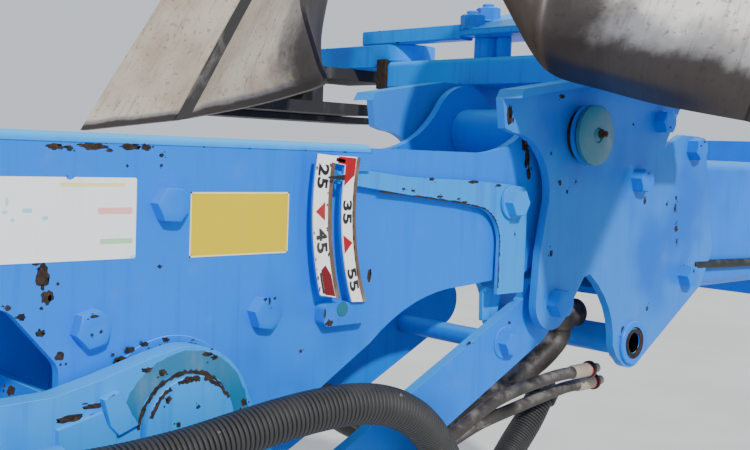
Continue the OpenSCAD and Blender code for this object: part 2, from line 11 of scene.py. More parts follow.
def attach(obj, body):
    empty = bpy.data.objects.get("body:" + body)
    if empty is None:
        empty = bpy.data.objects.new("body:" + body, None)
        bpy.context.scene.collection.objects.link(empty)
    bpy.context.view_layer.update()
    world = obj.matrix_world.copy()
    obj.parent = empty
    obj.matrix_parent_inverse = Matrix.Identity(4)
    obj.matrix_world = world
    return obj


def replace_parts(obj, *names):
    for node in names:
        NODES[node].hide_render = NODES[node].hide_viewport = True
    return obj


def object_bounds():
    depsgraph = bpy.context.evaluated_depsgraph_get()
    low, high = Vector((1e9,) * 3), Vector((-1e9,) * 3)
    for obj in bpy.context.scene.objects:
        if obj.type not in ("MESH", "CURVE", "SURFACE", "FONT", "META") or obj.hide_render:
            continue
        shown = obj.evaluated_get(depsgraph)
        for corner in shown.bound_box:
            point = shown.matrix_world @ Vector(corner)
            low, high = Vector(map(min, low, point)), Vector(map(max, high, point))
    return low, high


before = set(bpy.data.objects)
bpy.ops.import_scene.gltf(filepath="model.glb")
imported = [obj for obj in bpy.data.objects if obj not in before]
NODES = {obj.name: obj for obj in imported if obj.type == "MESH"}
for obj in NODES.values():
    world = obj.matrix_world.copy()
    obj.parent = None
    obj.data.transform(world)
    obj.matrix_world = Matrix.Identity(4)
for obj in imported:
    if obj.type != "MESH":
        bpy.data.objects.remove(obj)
CAD_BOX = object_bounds()

# The sizes and places of pieces are in millimetres, in the model's own frame
MM = 0.001
ARM_FACE = -99.0
RING_FACE = -102.0
POINTER_FACE = -110.0
STRIP_FACE = -121.0
PLATE_FACE = -125.0
ROCKER_FACE = -133.0
SHAFT_FACE = -143.0
LEVER_FACE = -97.0
EYE_BUSH_END = 129.0
MAIN_PIN = Vector((985, 0, 195))
SCALE_CENTRE = Vector((855, 0, 102))
SIDES = ((-1, "near"), (1, "far"))


# Camera. Its place is in metres, its turns in degrees and its focal length in the photograph's pixels
CAMERA_PLACE = (-0.2217, -0.9716, 0.1614)
CAMERA_TURNS = (44.0, 4.0, 2.2)
FOCAL_LENGTH = 1050
PICTURE_WIDTH = 750
SENSOR_WIDTH = 36.0


def add_camera():
    """The photograph's view, solved from the edges' vanishing points."""
    azimuth, elevation, roll = (math.radians(turn) for turn in CAMERA_TURNS)
    level = math.cos(elevation)
    forward = Vector((math.sin(azimuth) * level, math.cos(azimuth) * level, -math.sin(elevation)))
    flat_right = Vector((math.cos(azimuth), -math.sin(azimuth), 0.0))
    flat_up = flat_right.cross(forward)
    right = math.cos(roll) * flat_right + math.sin(roll) * flat_up
    up = math.cos(roll) * flat_up - math.sin(roll) * flat_right
    camera = bpy.data.objects.new("camera", bpy.data.cameras.new("camera"))
    camera.data.sensor_width = SENSOR_WIDTH
    camera.data.lens = SENSOR_WIDTH * FOCAL_LENGTH / PICTURE_WIDTH
    camera.data.clip_start = 0.02
    matrix = Matrix((right, up, -forward)).transposed().to_4x4()
    matrix.translation = Vector(CAMERA_PLACE)
    camera.matrix_world = matrix
    bpy.context.scene.collection.objects.link(camera)
    bpy.context.scene.camera = camera


# Materials
class Look:
    """A material whose node tree is put together by short calls. Sizes are in metres."""

    def __init__(self, name, roughness=0.5, metallic=0.0, specular=0.5):
        self.material = bpy.data.materials.new(name)
        self.material.use_nodes = True
        self.tree = self.material.node_tree
        self.tree.nodes.clear()
        out = self.tree.nodes.new("ShaderNodeOutputMaterial")
        self.bsdf = self.tree.nodes.new("ShaderNodeBsdfPrincipled")
        self.tree.links.new(self.bsdf.outputs[0], out.inputs[0])
        self.put(self.bsdf.inputs["Roughness"], roughness)
        self.put(self.bsdf.inputs["Metallic"], metallic)
        self.put(self.bsdf.inputs["Specular IOR Level"], specular)
        self.place = self.tree.nodes.new("ShaderNodeTexCoord").outputs["Object"]
        self.geometry = self.tree.nodes.new("ShaderNodeNewGeometry")

    def put(self, socket, value):
        if isinstance(value, bpy.types.NodeSocket):
            self.tree.links.new(value, socket)
        elif isinstance(value, tuple) and len(value) == 3 and socket.type == "RGBA":
            socket.default_value = (*value, 1.0)
        else:
            socket.default_value = value

    def calc(self, operation, a, b=0.0):
        node = self.tree.nodes.new("ShaderNodeMath")
        node.operation = operation
        self.put(node.inputs[0], a)
        self.put(node.inputs[1], b)
        return node.outputs[0]

    def noise(self, size, stretch=(1.0, 1.0, 1.0), detail=5.0, shift=0.0):
        """Clouds of about this size. A stretch under 1 draws them out along that axis."""
        scaled = self.tree.nodes.new("ShaderNodeVectorMath")
        scaled.operation = "MULTIPLY_ADD"
        self.put(scaled.inputs[0], self.place)
        self.put(scaled.inputs[1], Vector(stretch) / size)
        self.put(scaled.inputs[2], Vector((shift, shift, shift)))
        node = self.tree.nodes.new("ShaderNodeTexNoise")
        self.put(node.inputs["Vector"], scaled.outputs[0])
        self.put(node.inputs["Scale"], 1.0)
        self.put(node.inputs["Detail"], detail)
        self.put(node.inputs["Roughness"], 0.6)
        return node.outputs[0]

    def step(self, value, low, high):
        """0 below low and 1 above high, smooth between them. A low above high turns it round."""
        node = self.tree.nodes.new("ShaderNodeMapRange")
        node.interpolation_type = "SMOOTHSTEP"
        self.put(node.inputs["Value"], value)
        self.put(node.inputs["From Min"], min(low, high))
        self.put(node.inputs["From Max"], max(low, high))
        self.put(node.inputs["To Min"], 0.0 if low < high else 1.0)
        self.put(node.inputs["To Max"], 1.0 if low < high else 0.0)
        return node.outputs[0]

    def mix(self, share, a, b):
        node = self.tree.nodes.new("ShaderNodeMix")
        node.data_type = "RGBA"
        self.put(node.inputs[0], share)
        self.put(node.inputs[6], a)
        self.put(node.inputs[7], b)
        return node.outputs[2]

    def stain(self, colour, where, strength, tone):
        """The colour with a tone laid over it, as strongly as strength says where the mask is 1."""
        return self.mix(self.calc("MULTIPLY", where, strength), colour, tone)

    def attribute(self, name):
        """A number that the mesh carries at each point. It is 0 where the mesh has none."""
        node = self.tree.nodes.new("ShaderNodeAttribute")
        node.attribute_name = name
        return node.outputs["Fac"]

    def ragged(self, name, swing, shift):
        """The mesh's number less some clouds, so that an edge drawn from it is ragged."""
        number = self.attribute(name)
        clouds = self.noise(0.05, detail=7.0, shift=shift)
        return self.calc("ADD", number, self.calc("MULTIPLY", clouds, -swing))

    def facing(self, axis):
        """How far the surface faces along X, Y or Z, from -1 to 1."""
        node = self.tree.nodes.new("ShaderNodeSeparateXYZ")
        self.put(node.inputs[0], self.geometry.outputs["Normal"])
        return node.outputs[axis]

    def finish(self, colour, roughness=None, height=None, depth=0.0004):
        self.put(self.bsdf.inputs["Base Color"], colour)
        if roughness is not None:
            self.put(self.bsdf.inputs["Roughness"], roughness)
        if height is not None:
            bump = self.tree.nodes.new("ShaderNodeBump")
            self.put(bump.inputs["Height"], height)
            self.put(bump.inputs["Distance"], depth)
            self.put(bump.inputs["Strength"], 0.6)
            self.put(self.bsdf.inputs["Normal"], bump.outputs[0])
        return self.material


AZURE = (0.0, 0.185, 0.8)
DEEP_AZURE = (0.0, 0.13, 0.62)
PALE_AZURE = (0.06, 0.48, 0.95)
CYAN = (0.01, 0.28, 0.8)
RUST_BROWN = (0.045, 0.026, 0.017)
DARK_RUST = (0.014, 0.011, 0.01)
ORANGE_RUST = (0.15, 0.065, 0.025)
DARK_SCALE_AND_SHADE = (0.02, 0.012, 0.009)
DUST = (0.42, 0.4, 0.36)
SOIL_BROWN = (0.22, 0.18, 0.15)
SPECK_BROWN = (0.2, 0.12, 0.08)
STEEL_GREY = (0.1, 0.105, 0.14)
RIB_CREST_LIGHT = (0.034, 0.035, 0.037)
SCRATCH_GREY = (0.3, 0.28, 0.26)
FLOOR_TONES = ((0.66, 0.65, 0.63), (0.72, 0.715, 0.7))


def rust_colour(look):
    """Dark rust with lighter, more orange patches."""
    colour = look.mix(look.step(look.noise(0.006), 0.35, 0.65), DARK_RUST, RUST_BROWN)
    return look.mix(look.step(look.noise(0.003, shift=4.0), 0.58, 0.75), colour, ORANGE_RUST)


def blue_paint(name, chips, fade_and_top_light, tone=AZURE):
    """Faded paint with streaks, dust, and rust where its noise is over chips. It is paler on what faces up:
    partly sun-faded paint, partly painted light from above.
    """
    look = Look(name, specular=0.15)
    colour = look.mix(look.step(look.noise(0.25, detail=3.0), 0.3, 0.5), DEEP_AZURE, tone)
    streaks = look.step(look.noise(0.014, stretch=(1.0, 1.0, 0.06), detail=4.0), 0.5, 0.75)
    colour = look.stain(colour, streaks, 0.4, DEEP_AZURE)
    # Paler towards what faces up: partly sun fading, partly painted light from above.
    colour = look.stain(colour, look.step(look.facing("Z"), 0.2, 0.95), fade_and_top_light, PALE_AZURE)
    blotches = look.step(look.noise(0.05, detail=8.0, shift=9.0), 0.55, 0.8)
    colour = look.stain(colour, blotches, 0.07, DUST)
    gone = look.step(look.noise(0.018, detail=9.0, shift=2.0), chips, chips + 0.025)
    colour = look.mix(gone, colour, rust_colour(look))
    rough = look.calc("ADD", look.calc("MULTIPLY", look.noise(0.03, shift=5.0), 0.3), 0.24)
    height = look.calc("SUBTRACT", look.calc("MULTIPLY", look.noise(0.004, detail=2.0), 0.25), gone)
    return look.finish(colour, rough, height, 0.0003)


def worn_steel(name, bright, dull):
    """Steel ground bright by soil, with scratches and specks. Its lower and inner edges are dark: partly scale,
    partly painted shade where the board curls under or turns edge-on, with a bluish grey band of painted
    highlight above the lower edge.
    """
    look = Look(name, metallic=0.2, specular=0.5)
    colour = look.mix(look.step(look.noise(0.12, detail=6.0), 0.35, 0.7), bright, dull)
    scratch = look.noise(0.006, stretch=(0.12, 1.0, 0.07), detail=6.0)
    colour = look.stain(colour, look.step(scratch, 0.5, 0.72), 0.45, SOIL_BROWN)
    specks = look.step(look.noise(0.008, detail=8.0, shift=3.0), 0.58, 0.66)
    colour = look.stain(colour, specks, 0.6, SPECK_BROWN)
    reach = look.ragged("reach", 0.06, 7.0)
    # The bluish grey band above the lower edge is a painted highlight; the darkest band below it is partly
    # scale, partly painted shade.
    colour = look.stain(colour, look.step(reach, 0.085, 0.045), 0.7, STEEL_GREY)
    colour = look.stain(colour, look.step(reach, 0.045, 0.015), 0.92, DARK_SCALE_AND_SHADE)
    # Darker towards the inner end: partly scale, partly painted shade where the board turns edge-on.
    inner = look.ragged("inner", 0.12, 8.0)
    colour = look.stain(colour, look.step(inner, 0.085, 0.01), 0.9, DARK_SCALE_AND_SHADE)
    rough = look.calc("ADD", look.calc("MULTIPLY", scratch, 0.4), 0.2)
    return look.finish(colour, rough, scratch, 0.0004)


def rusty_iron(name):
    look = Look(name, roughness=0.85, specular=0.3)
    return look.finish(rust_colour(look), None, look.noise(0.005, detail=8.0), 0.0012)


def rubber(name, tone, dust):
    """Rubber with dust on what faces up, pale scratches, and ribs whose crests are painted paler than their
    grooves where the mesh has them: painted light on the crests, painted shade in the grooves.
    """
    look = Look(name, roughness=0.55, specular=0.4)
    clouds = look.step(look.noise(0.03, detail=8.0), 0.42, 0.66)
    dusty = look.calc("MULTIPLY", clouds, look.step(look.facing("Z"), -0.6, 0.9))
    colour = look.stain(tone, dusty, dust, DUST)
    # Rib crests paler than the grooves: painted light and shade.
    colour = look.mix(look.attribute("rib"), colour, RIB_CREST_LIGHT)
    scratch = look.step(look.noise(0.01, stretch=(0.2, 1.0, 1.0), detail=9.0, shift=6.0), 0.66, 0.72)
    colour = look.stain(colour, scratch, 0.5, SCRATCH_GREY)
    return look.finish(colour, None, look.noise(0.003), 0.0002)


def printed(name, tone, dirt=0.25, roughness=0.4):
    """A printed or painted plate, a little soiled and scratched."""
    look = Look(name, roughness=roughness, specular=0.4)
    smears = look.step(look.noise(0.03, stretch=(1.0, 1.0, 0.35), detail=8.0), 0.5, 0.8)
    colour = look.stain(tone, smears, dirt, DUST)
    specks = look.step(look.noise(0.004, detail=6.0, shift=5.0), 0.66, 0.7)
    colour = look.stain(colour, specks, dirt, RUST_BROWN)
    return look.finish(colour, None, look.noise(0.003), 0.00005)


def pale_floor():
    look = Look("floor", roughness=0.95, specular=0.2)
    return look.finish(look.mix(look.step(look.noise(0.6), 0.3, 0.7), *FLOOR_TONES))


# Paints that are much paler on what faces up carry painted light: the worn edges' paint has lit top edges, the
# arm cover's paint a lit top band, and the nuts' paint lit tops.
BLUE = blue_paint("blue_paint", 0.735, 0.45)
EDGE = blue_paint("blue_edge", 0.62, 0.9)
FADED_TOP_LIT = blue_paint("blue_faded_top_lit", 0.7, 0.75)
LIGHT = blue_paint("blue_light", 0.71, 0.5, CYAN)
TOP = blue_paint("blue_top", 0.7, 0.85, CYAN)
# A brighter paint for the legs and bracket that stands in for the sunlight the near moldboard's shadow keeps
# off them: painted light.
SUNLIT_BLUE = blue_paint("blue_painted_sunlight", 0.74, 0.9, (0.0, 0.3, 1.0))
PLATE = blue_paint("blue_plate", 0.72, 0.6, (0.02, 0.21, 0.72))
STEEL = worn_steel("worn_steel", (0.52, 0.46, 0.37), (0.38, 0.31, 0.23))
# The near boards' steel is much paler than the far ones': partly brighter worn steel, partly painted light on
# faces turned from the sun.
NEAR_STEEL_LIT = worn_steel("near_steel_painted_light", (0.95, 0.92, 0.84), (0.62, 0.55, 0.46))
IRON = rusty_iron("rusty_iron")
DULL_IRON = printed("dull_iron", (0.03, 0.028, 0.028), 0.3, 0.7)
BLACK = rubber("black_rubber", (0.01, 0.01, 0.011), 0.12)
GREY_RUBBER = rubber("dusty_rubber", (0.04, 0.036, 0.033), 0.4)
DIRTY_RUBBER = rubber("dirty_rubber", (0.02, 0.017, 0.015), 0.45)
RIBBED = rubber("ribbed_rubber", (0.002, 0.002, 0.002), 0.1)
COUPLER = printed("coupler_steel", (0.36, 0.3, 0.22), 0.5, 0.5)
WHITE = printed("scale_white", (0.86, 0.86, 0.86), 0.25)
RED = printed("scale_red", (0.36, 0.0, 0.008), 0.15)
DARK_RED = printed("scale_dark_red", (0.16, 0.0, 0.008), 0.15)
INK = printed("scale_black", (0.012, 0.012, 0.014), 0.15)
YELLOW = printed("label_yellow", (0.66, 0.5, 0.0), 0.08)
LABEL = printed("label_white", (0.84, 0.87, 0.88), 0.18)
TEAL = printed("plug_teal", (0.005, 0.13, 0.2), 0.3)
# A dark teal for the crescent by the rocker's shaft head: painted shadow.
SHADE_TEAL = printed("teal_painted_shade", (0.01, 0.15, 0.32), 0.2)
# A dark teal grey for the pin heads' faces: painted shade over worn blue paint.
PIN_SHADE_PAINT = printed("pin_painted_shade", (0.035, 0.17, 0.26), 0.5)
OLD_EDGE = printed("old_edge", (0.12, 0.075, 0.05), 0.6, 0.8)
YELLOW_RIM = printed("label_rim", (0.9, 0.8, 0.35), 0.3)
STRIPE_YELLOW = printed("stripe_yellow", (0.85, 0.78, 0.35), 0.3)
STRIPE_RED = printed("stripe_red", (0.85, 0.45, 0.42), 0.3)
STRIPE_GREEN = printed("stripe_green", (0.4, 0.68, 0.42), 0.3)
STRIPE_CYAN = printed("stripe_cyan", (0.3, 0.7, 0.85), 0.3)


# Shapes
def add_piece(name, mesh, body, slot, *materials, sharp=35.0):
    """A new piece of the object, from a mesh in millimetres, that moves with a body."""
    mesh.transform(Matrix.Scale(MM, 4))
    for entry in materials:
        mesh.materials.append(entry)
    for face in mesh.polygons:
        face.use_smooth = True
    mesh.set_sharp_from_angle(angle=math.radians(sharp))
    piece = bpy.data.objects.new(name, mesh)
    bpy.context.scene.collection.objects.link(piece)
    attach(piece, body)
    return piece


def mesh_of(name, build):
    """A mesh made by build(bm), with its faces turned outward."""
    bm = bmesh.new()
    build(bm)
    bmesh.ops.recalc_face_normals(bm, faces=bm.faces)
    mesh = bpy.data.meshes.new(name)
    bm.to_mesh(mesh)
    bm.free()
    return mesh


def note_numbers(mesh, name, values):
    layer = mesh.attributes.new(name, "FLOAT", "POINT")
    layer.data.foreach_set("value", values)


def smooth_line(points, steps=12):
    """Points of a smooth curve through the given ones, so many for each stretch."""
    points = [Vector(point) for point in points]
    ends = [2 * points[0] - points[1], *points, 2 * points[-1] - points[-2]]
    line = []
    for a, b, c, d in zip(ends, ends[1:], ends[2:], ends[3:]):
        for i in range(steps):
            t = i / steps
            line.append(0.5 * (2 * b + (c - a) * t + (2 * a - 5 * b + 4 * c - d) * t**2
                               + (3 * b - a - 3 * c + d) * t**3))
    return line + [points[-1]]


def even_line(line, pitch):
    """The same line as points one pitch apart."""
    spots = [line[0].copy()]
    left = pitch
    for a, b in zip(line, line[1:]):
        span = (b - a).length
        while left <= span:
            spots.append(a.lerp(b, left / span))
            left += pitch
        left -= span
    return spots


def line_length(line):
    return sum((b - a).length for a, b in zip(line, line[1:]))


def ring_faces(bm, rings, closed_ends=True):
    """Joins rings of points into a skin. A ring of one point closes it there."""
    loops = [[bm.verts.new(p) for p in ring] for ring in rings]
    for low, high in zip(loops, loops[1:]):
        count = max(len(low), len(high))
        for k in range(count):
            n = k + 1
            corners = [low[k % len(low)], low[n % len(low)], high[n % len(high)], high[k % len(high)]]
            bm.faces.new(list(dict.fromkeys(corners)))
    for loop in (loops[0], loops[-1]):
        if closed_ends and len(loop) > 2:
            bm.faces.new(loop)
    return loops


def tube_mesh(name, line, radius_at, sides):
    """A tube round a line, whose radius follows the distance along it."""
    def build(bm):
        last = len(line) - 1
        ways = [(line[min(i + 1, last)] - line[max(i - 1, 0)]).normalized() for i in range(len(line))]
        side = ways[0].orthogonal().normalized()
        rings = []
        done = 0.0
        for i, (spot, way) in enumerate(zip(line, ways)):
            side = (side - side.dot(way) * way).normalized()
            other = way.cross(side)
            done += (spot - line[i - 1]).length if i else 0.0
            turns = [math.tau * k / sides for k in range(sides)]
            rings.append([spot + radius_at(done) * (math.cos(a) * side + math.sin(a) * other) for a in turns])
        ring_faces(bm, rings)
    return mesh_of(name, build)


def turned_mesh(name, base, axis, profile, sides=48):
    """A body turned round an axis through base. The profile has (distance along the axis, radius, slot)."""
    def build(bm):
        way = Vector(axis).normalized()
        side = way.orthogonal().normalized()
        other = way.cross(side)
        rings = []
        for s, r, _ in profile:
            turns = [math.tau * k / sides for k in range(sides)] if r else [0.0]
            middle = Vector(base) + s * way
            rings.append([middle + r * (math.cos(a) * side + math.sin(a) * other) for a in turns])
        loops = ring_faces(bm, rings)
        bm.verts.index_update()
        slot_at = {vert.index: row[2] for loop, row in zip(loops, profile) for vert in loop}
        for face in bm.faces:
            face.material_index = max(slot_at[vert.index] for vert in face.verts)
    return mesh_of(name, build)


BOLT_FACE = 0.93
BOLT_CHAMFER = math.radians(30)


def bolt_mesh(name, at, out, width, height, washer_r=0.0, washer_t=0.0, turn=0.0, stud=0.0):
    """A hexagon head with its chamfer, on a washer where it has one, with a stud's end over a nut."""
    def build(bm):
        way = Vector(out).normalized()
        side = way.orthogonal().normalized()
        other = way.cross(side)
        flat = width / 2
        top = washer_t + height

        def hexagon(a):
            return flat / math.cos((a % (math.pi / 3)) - math.pi / 6)

        def shoulder(a):
            return washer_t + (height - (hexagon(a) - BOLT_FACE * flat) * math.tan(BOLT_CHAMFER))

        def ring(radius, lift):
            spots = []
            for a in (math.tau * k / 48 for k in range(48)):
                r = radius(a) if callable(radius) else radius
                s = lift(a) if callable(lift) else lift
                outward = math.cos(a + turn) * side + math.sin(a + turn) * other
                spots.append(Vector(at) + s * way + r * outward)
            return spots

        def skin(*rows):
            """Joins rings. A row has a radius and a lift, each a number or a function of the angle."""
            ring_faces(bm, [ring(radius, lift) for radius, lift in rows])

        if washer_t:
            skin((washer_r, 0.0), (washer_r, 0.7 * washer_t), (washer_r - 1.0, washer_t),
                 (0.5 * flat, washer_t))
        skin((hexagon, washer_t), (hexagon, shoulder), (BOLT_FACE * flat, top), (0.5 * flat, top - 0.4))
        if stud:
            skin((0.55 * flat, top - 2.0), (0.55 * flat, top + stud - 1.5), (0.45 * flat, top + stud))
    return mesh_of(name, build)


def sheet_mesh(name, outlines, face, thickness=0.15, paired=False):
    """Flat shapes on a face towards -Y. A paired outline runs out on one edge and back on the other."""
    def build(bm):
        for outline in outlines:
            front = [bm.verts.new((x, face - thickness, z)) for x, z in outline]
            back = [bm.verts.new((x, face, z)) for x, z in outline]
            if paired:
                for ring in (front, back):
                    for k in range(len(ring) // 2 - 1):
                        bm.faces.new((ring[k], ring[k + 1], ring[-2 - k], ring[-1 - k]))
            else:
                bm.faces.new(front)
                bm.faces.new(back)
            for k in range(len(outline)):
                n = (k + 1) % len(outline)
                bm.faces.new((front[k], front[n], back[n], back[k]))
        bmesh.ops.triangulate(bm, faces=[f for f in bm.faces if len(f.verts) > 4])
    return mesh_of(name, build)


def flat_piece(name, outlines, face, thickness, body, slot, *materials, paired=False):
    """Flat shapes on a face, as one piece of the object."""
    mesh = sheet_mesh(name, outlines, face, thickness, paired)
    return add_piece(name, mesh, body, slot, *materials)


def round_plate(x0, z0, x1, z1, radius):
    """A rectangle with round corners."""
    corners = [(x1 - radius, z1 - radius, 0), (x0 + radius, z1 - radius, 90), (x0 + radius, z0 + radius, 180),
               (x1 - radius, z0 + radius, 270)]
    outline = []
    for cx, cz, start in corners:
        for a in (math.radians(start + 15 * k) for k in range(7)):
            outline.append((cx + radius * math.cos(a), cz + radius * math.sin(a)))
    return outline


def blot(x, z, width, height, chance, points=18):
    """A ragged outline round a point."""
    spots = []
    for k in range(points):
        a = math.tau * k / points
        r = 0.5 * (0.72 + 0.5 * chance.random())
        spots.append((x + r * width * math.cos(a), z + r * height * math.sin(a)))
    return spots


def ring_place(radius, angle, centre=SCALE_CENTRE):
    """X and Z at a radius and an angle above the line that runs forward from the pointer's pivot."""
    turn = math.radians(angle)
    return centre.x - radius * math.cos(turn), centre.z + radius * math.sin(turn)


def arc_band(r0, r1, a0, a1, b0=None, b1=None, steps=24):
    """A band between two radii. Its outer edge runs from angle a0 to a1, its inner one from b0 to b1."""
    b0 = a0 if b0 is None else b0
    b1 = a1 if b1 is None else b1
    shares = [k / steps for k in range(steps + 1)]
    outer = [ring_place(r1, a0 + (a1 - a0) * t) for t in shares]
    inner = [ring_place(r0, b1 + (b0 - b1) * t) for t in shares]
    return outer + inner


# Hoses. Each route runs from the clamp to the fitting
SLEEVE_ROUTE = [[190, -180, -122], [250, -180, -122], [310, -180, -119], [370, -180, -112],
                [425, -180, -106], [475, -180, -103], [525, -180, -104], [572, -178, -113],
                [615, -172, -131], [655, -161, -156], [692, -147, -186], [728, -130, -217],
                [768, -110, -249], [815, -86, -278], [868, -60, -298], [925, -36, -304],
                [982, -14, -294], [1034, 4, -272], [1076, 12, -245], [1106, 16, -215]]
UPPER_ROUTE = [[530, -62, -128], [570, -62, -128], [612, -62, -136], [652, -62, -153], [690, -62, -178],
               [725, -62, -202], [758, -62, -216], [790, -62, -217], [820, -62, -208], [860, -62, -192],
               [905, -62, -176], [960, -62, -166], [1018, -62, -160], [1048, -62, -158], [1079, -62, -158]]
LOWER_ROUTE = [[530, -36, -128], [570, -36, -128], [612, -36, -138], [652, -36, -158], [690, -36, -185],
               [725, -36, -212], [760, -36, -231], [800, -36, -237], [842, -36, -229], [900, -36, -214],
               [970, -36, -204], [1030, -36, -196], [1080, -36, -190], [1105, -36, -188], [1130, -36, -188]]
THICK_ROUTE = [[530, 2, -127], [580, 2, -127], [630, 2, -142], [680, 2, -168], [730, 2, -196],
               [785, 2, -216], [840, 2, -222], [893, 1, -216], [942, -3, -200], [982, -12, -178],
               [1014, -22, -157], [1040, -33, -136], [1058, -41, -116], [1066, -44, -103], [1066, -44, -92]]
INNER_ROUTE = [[530, 50, -127], [580, 50, -127], [630, 50, -144], [680, 50, -174], [730, 50, -206],
               [785, 50, -229], [840, 50, -236], [893, 50, -228], [942, 50, -212], [985, 48, -195],
               [1022, 44, -178], [1052, 40, -165], [1075, 38, -158], [1092, 37, -156], [1112, 37, -156]]
SLEEVE_D = 44.0
HOSE_D = 18.0
THICK_D = 34.0
RIB_PITCH = 5.6
RIB_DEPTH = 2.6
RIB_STEPS = 8
# How far the rib crests are painted paler than the grooves: painted light and shade.
RIB_SHADE = 0.85
PLAIN_PITCH = 5.0


def add_hose(name, node, route, diameter, material, slot, ribbed=False):
    """One hose along its route, in place of its plain solid."""
    line = even_line(smooth_line(route), RIB_PITCH / RIB_STEPS if ribbed else PLAIN_PITCH)
    if line_length([line[-1], Vector(route[-1])]) > 0.01:
        line.append(Vector(route[-1]))

    def groove(along):
        """0 on a rib and 1 at the bottom of a groove."""
        return max(0.0, -0.1 - 1.1 * math.cos(math.tau * along / RIB_PITCH)) if ribbed else 0.0

    def radius(along):
        return diameter / 2 - RIB_DEPTH * groove(along)

    sides = 28 if ribbed else 24
    mesh = tube_mesh(name, line, radius, sides)
    if ribbed:
        alongs = [line_length(line[:i + 1]) for i in range(len(line))]
        # Crests get the paler painted light, grooves keep the dark base as painted shade.
        shades = [RIB_SHADE * (1 - groove(along)) ** 2 for along in alongs]
        note_numbers(mesh, "rib", [shade for shade in shades for _ in range(sides)])
    hose = add_piece(name, mesh, "arm", slot, material, sharp=80.0)
    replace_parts(hose, node)


def add_coupler(name, at):
    """A coupler's barrel, its red and black rings and its light tip, along X from the hose's end."""
    profile = [(0, 0, 0), (0, 9.5, 0), (1.5, 10.5, 0), (30, 10.5, 0), (31, 9.6, 0), (33, 9.6, 0),
               (34, 10.5, 0), (39.5, 10.5, 0), (40, 11, 1), (42.4, 11, 1), (42.6, 13, 2), (47.4, 13, 2),
               (48, 7.5, 3), (56, 7.5, 3), (57, 6.6, 3), (59, 6.6, 3), (60, 7.5, 3), (65, 7.3, 3),
               (66, 6.5, 3), (66, 0, 3)]
    mesh = turned_mesh(name, at, (1, 0, 0), profile, 36)
    return add_piece(name, mesh, "arm", "coupler_steel", COUPLER, RED, INK, COUPLER)


def add_hoses():
    upper_end = add_coupler("coupler_upper", UPPER_ROUTE[-1])
    lower_end = add_coupler("coupler_lower", LOWER_ROUTE[-1])
    profile = [(0, 0, 0), (0, 17.5, 0), (1, 18.9, 0), (12, 18.9, 0), (15, 17, 0), (16, 12, 0), (16, 0, 0)]
    cap = turned_mesh("hose_cap", INNER_ROUTE[-1], (1, 0, 0), profile)
    cap_piece = add_piece("hose_cap", cap, "arm", "black_rubber", BLACK)
    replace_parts(upper_end, "hose_couplers")
    add_hose("sleeve", "hose_sleeve", SLEEVE_ROUTE, SLEEVE_D, RIBBED, "black_rubber",
             ribbed=True)
    add_hose("upper_hose", "hose_upper", UPPER_ROUTE, HOSE_D, GREY_RUBBER, "dusty_rubber")
    add_hose("lower_hose", "hose_lower", LOWER_ROUTE, HOSE_D, GREY_RUBBER, "dusty_rubber")
    add_hose("thick_hose", "hose_thick", THICK_ROUTE, THICK_D, DIRTY_RUBBER, "black_rubber")
    add_hose("inner_hose", "hose_inner", INNER_ROUTE, THICK_D, DIRTY_RUBBER, "black_rubber")


# Solids of the frame
def soften(node, width, material, edge_material):
    """Rounds a solid's edges, with the worn edges in a material of their own."""
    solid = NODES[node]
    solid.data.materials.clear()
    solid.data.materials.append(material)
    solid.data.materials.append(edge_material)
    weld = solid.modifiers.new("weld", "WELD")
    weld.merge_threshold = 0.01 * MM
    flat = solid.modifiers.new("flat", "DECIMATE")
    flat.decimate_type = "DISSOLVE"
    flat.angle_limit = math.radians(0.5)
    bevel = solid.modifiers.new("bevel", "BEVEL")
    bevel.width = width * MM
    bevel.segments = 2
    bevel.limit_method = "ANGLE"
    bevel.angle_limit = math.radians(32)
    bevel.use_clamp_overlap = True
    bevel.material = 1
    shade = solid.modifiers.new("shade", "WEIGHTED_NORMAL")
    shade.keep_sharp = False


# The bevel and the two materials of the nodes whose names start so. Other nodes get the plain row
DRESS = [("bar_ends", 1.5, IRON, IRON), ("frog", 1.5, DULL_IRON, IRON), ("landside", 1.5, DULL_IRON, IRON),
         ("sleeve_boot", 1.5, DIRTY_RUBBER, BLACK), ("hose_elbow", 1.5, DIRTY_RUBBER, BLACK),
         ("arm_cover", 1.2, TOP, EDGE), ("arm_webs", 1.2, BLUE, EDGE), ("rocker_tube", 1.2, BLUE, EDGE),
         ("eye_bush", 1.2, BLUE, EDGE), ("scale", 1.2, BLUE, EDGE), ("pointer", 1.5, LIGHT, EDGE),
         ("rocker_near", 1.5, LIGHT, EDGE), ("rocker_shaft", 1.5, LIGHT, EDGE),
         ("side_plate", 2.0, PLATE, EDGE), ("leg", 2.5, SUNLIT_BLUE, EDGE), ("bracket", 2.5, SUNLIT_BLUE, EDGE)]
PLAIN_DRESS = (2.0, BLUE, EDGE)


def dress_nodes():
    for node in NODES:
        rows = [dress for start, *dress in DRESS if node.startswith(start)]
        soften(node, *(rows[0] if rows else PLAIN_DRESS))


# Bolts and pins
ARM_HEAD = 16
PLATE_HEAD = 19
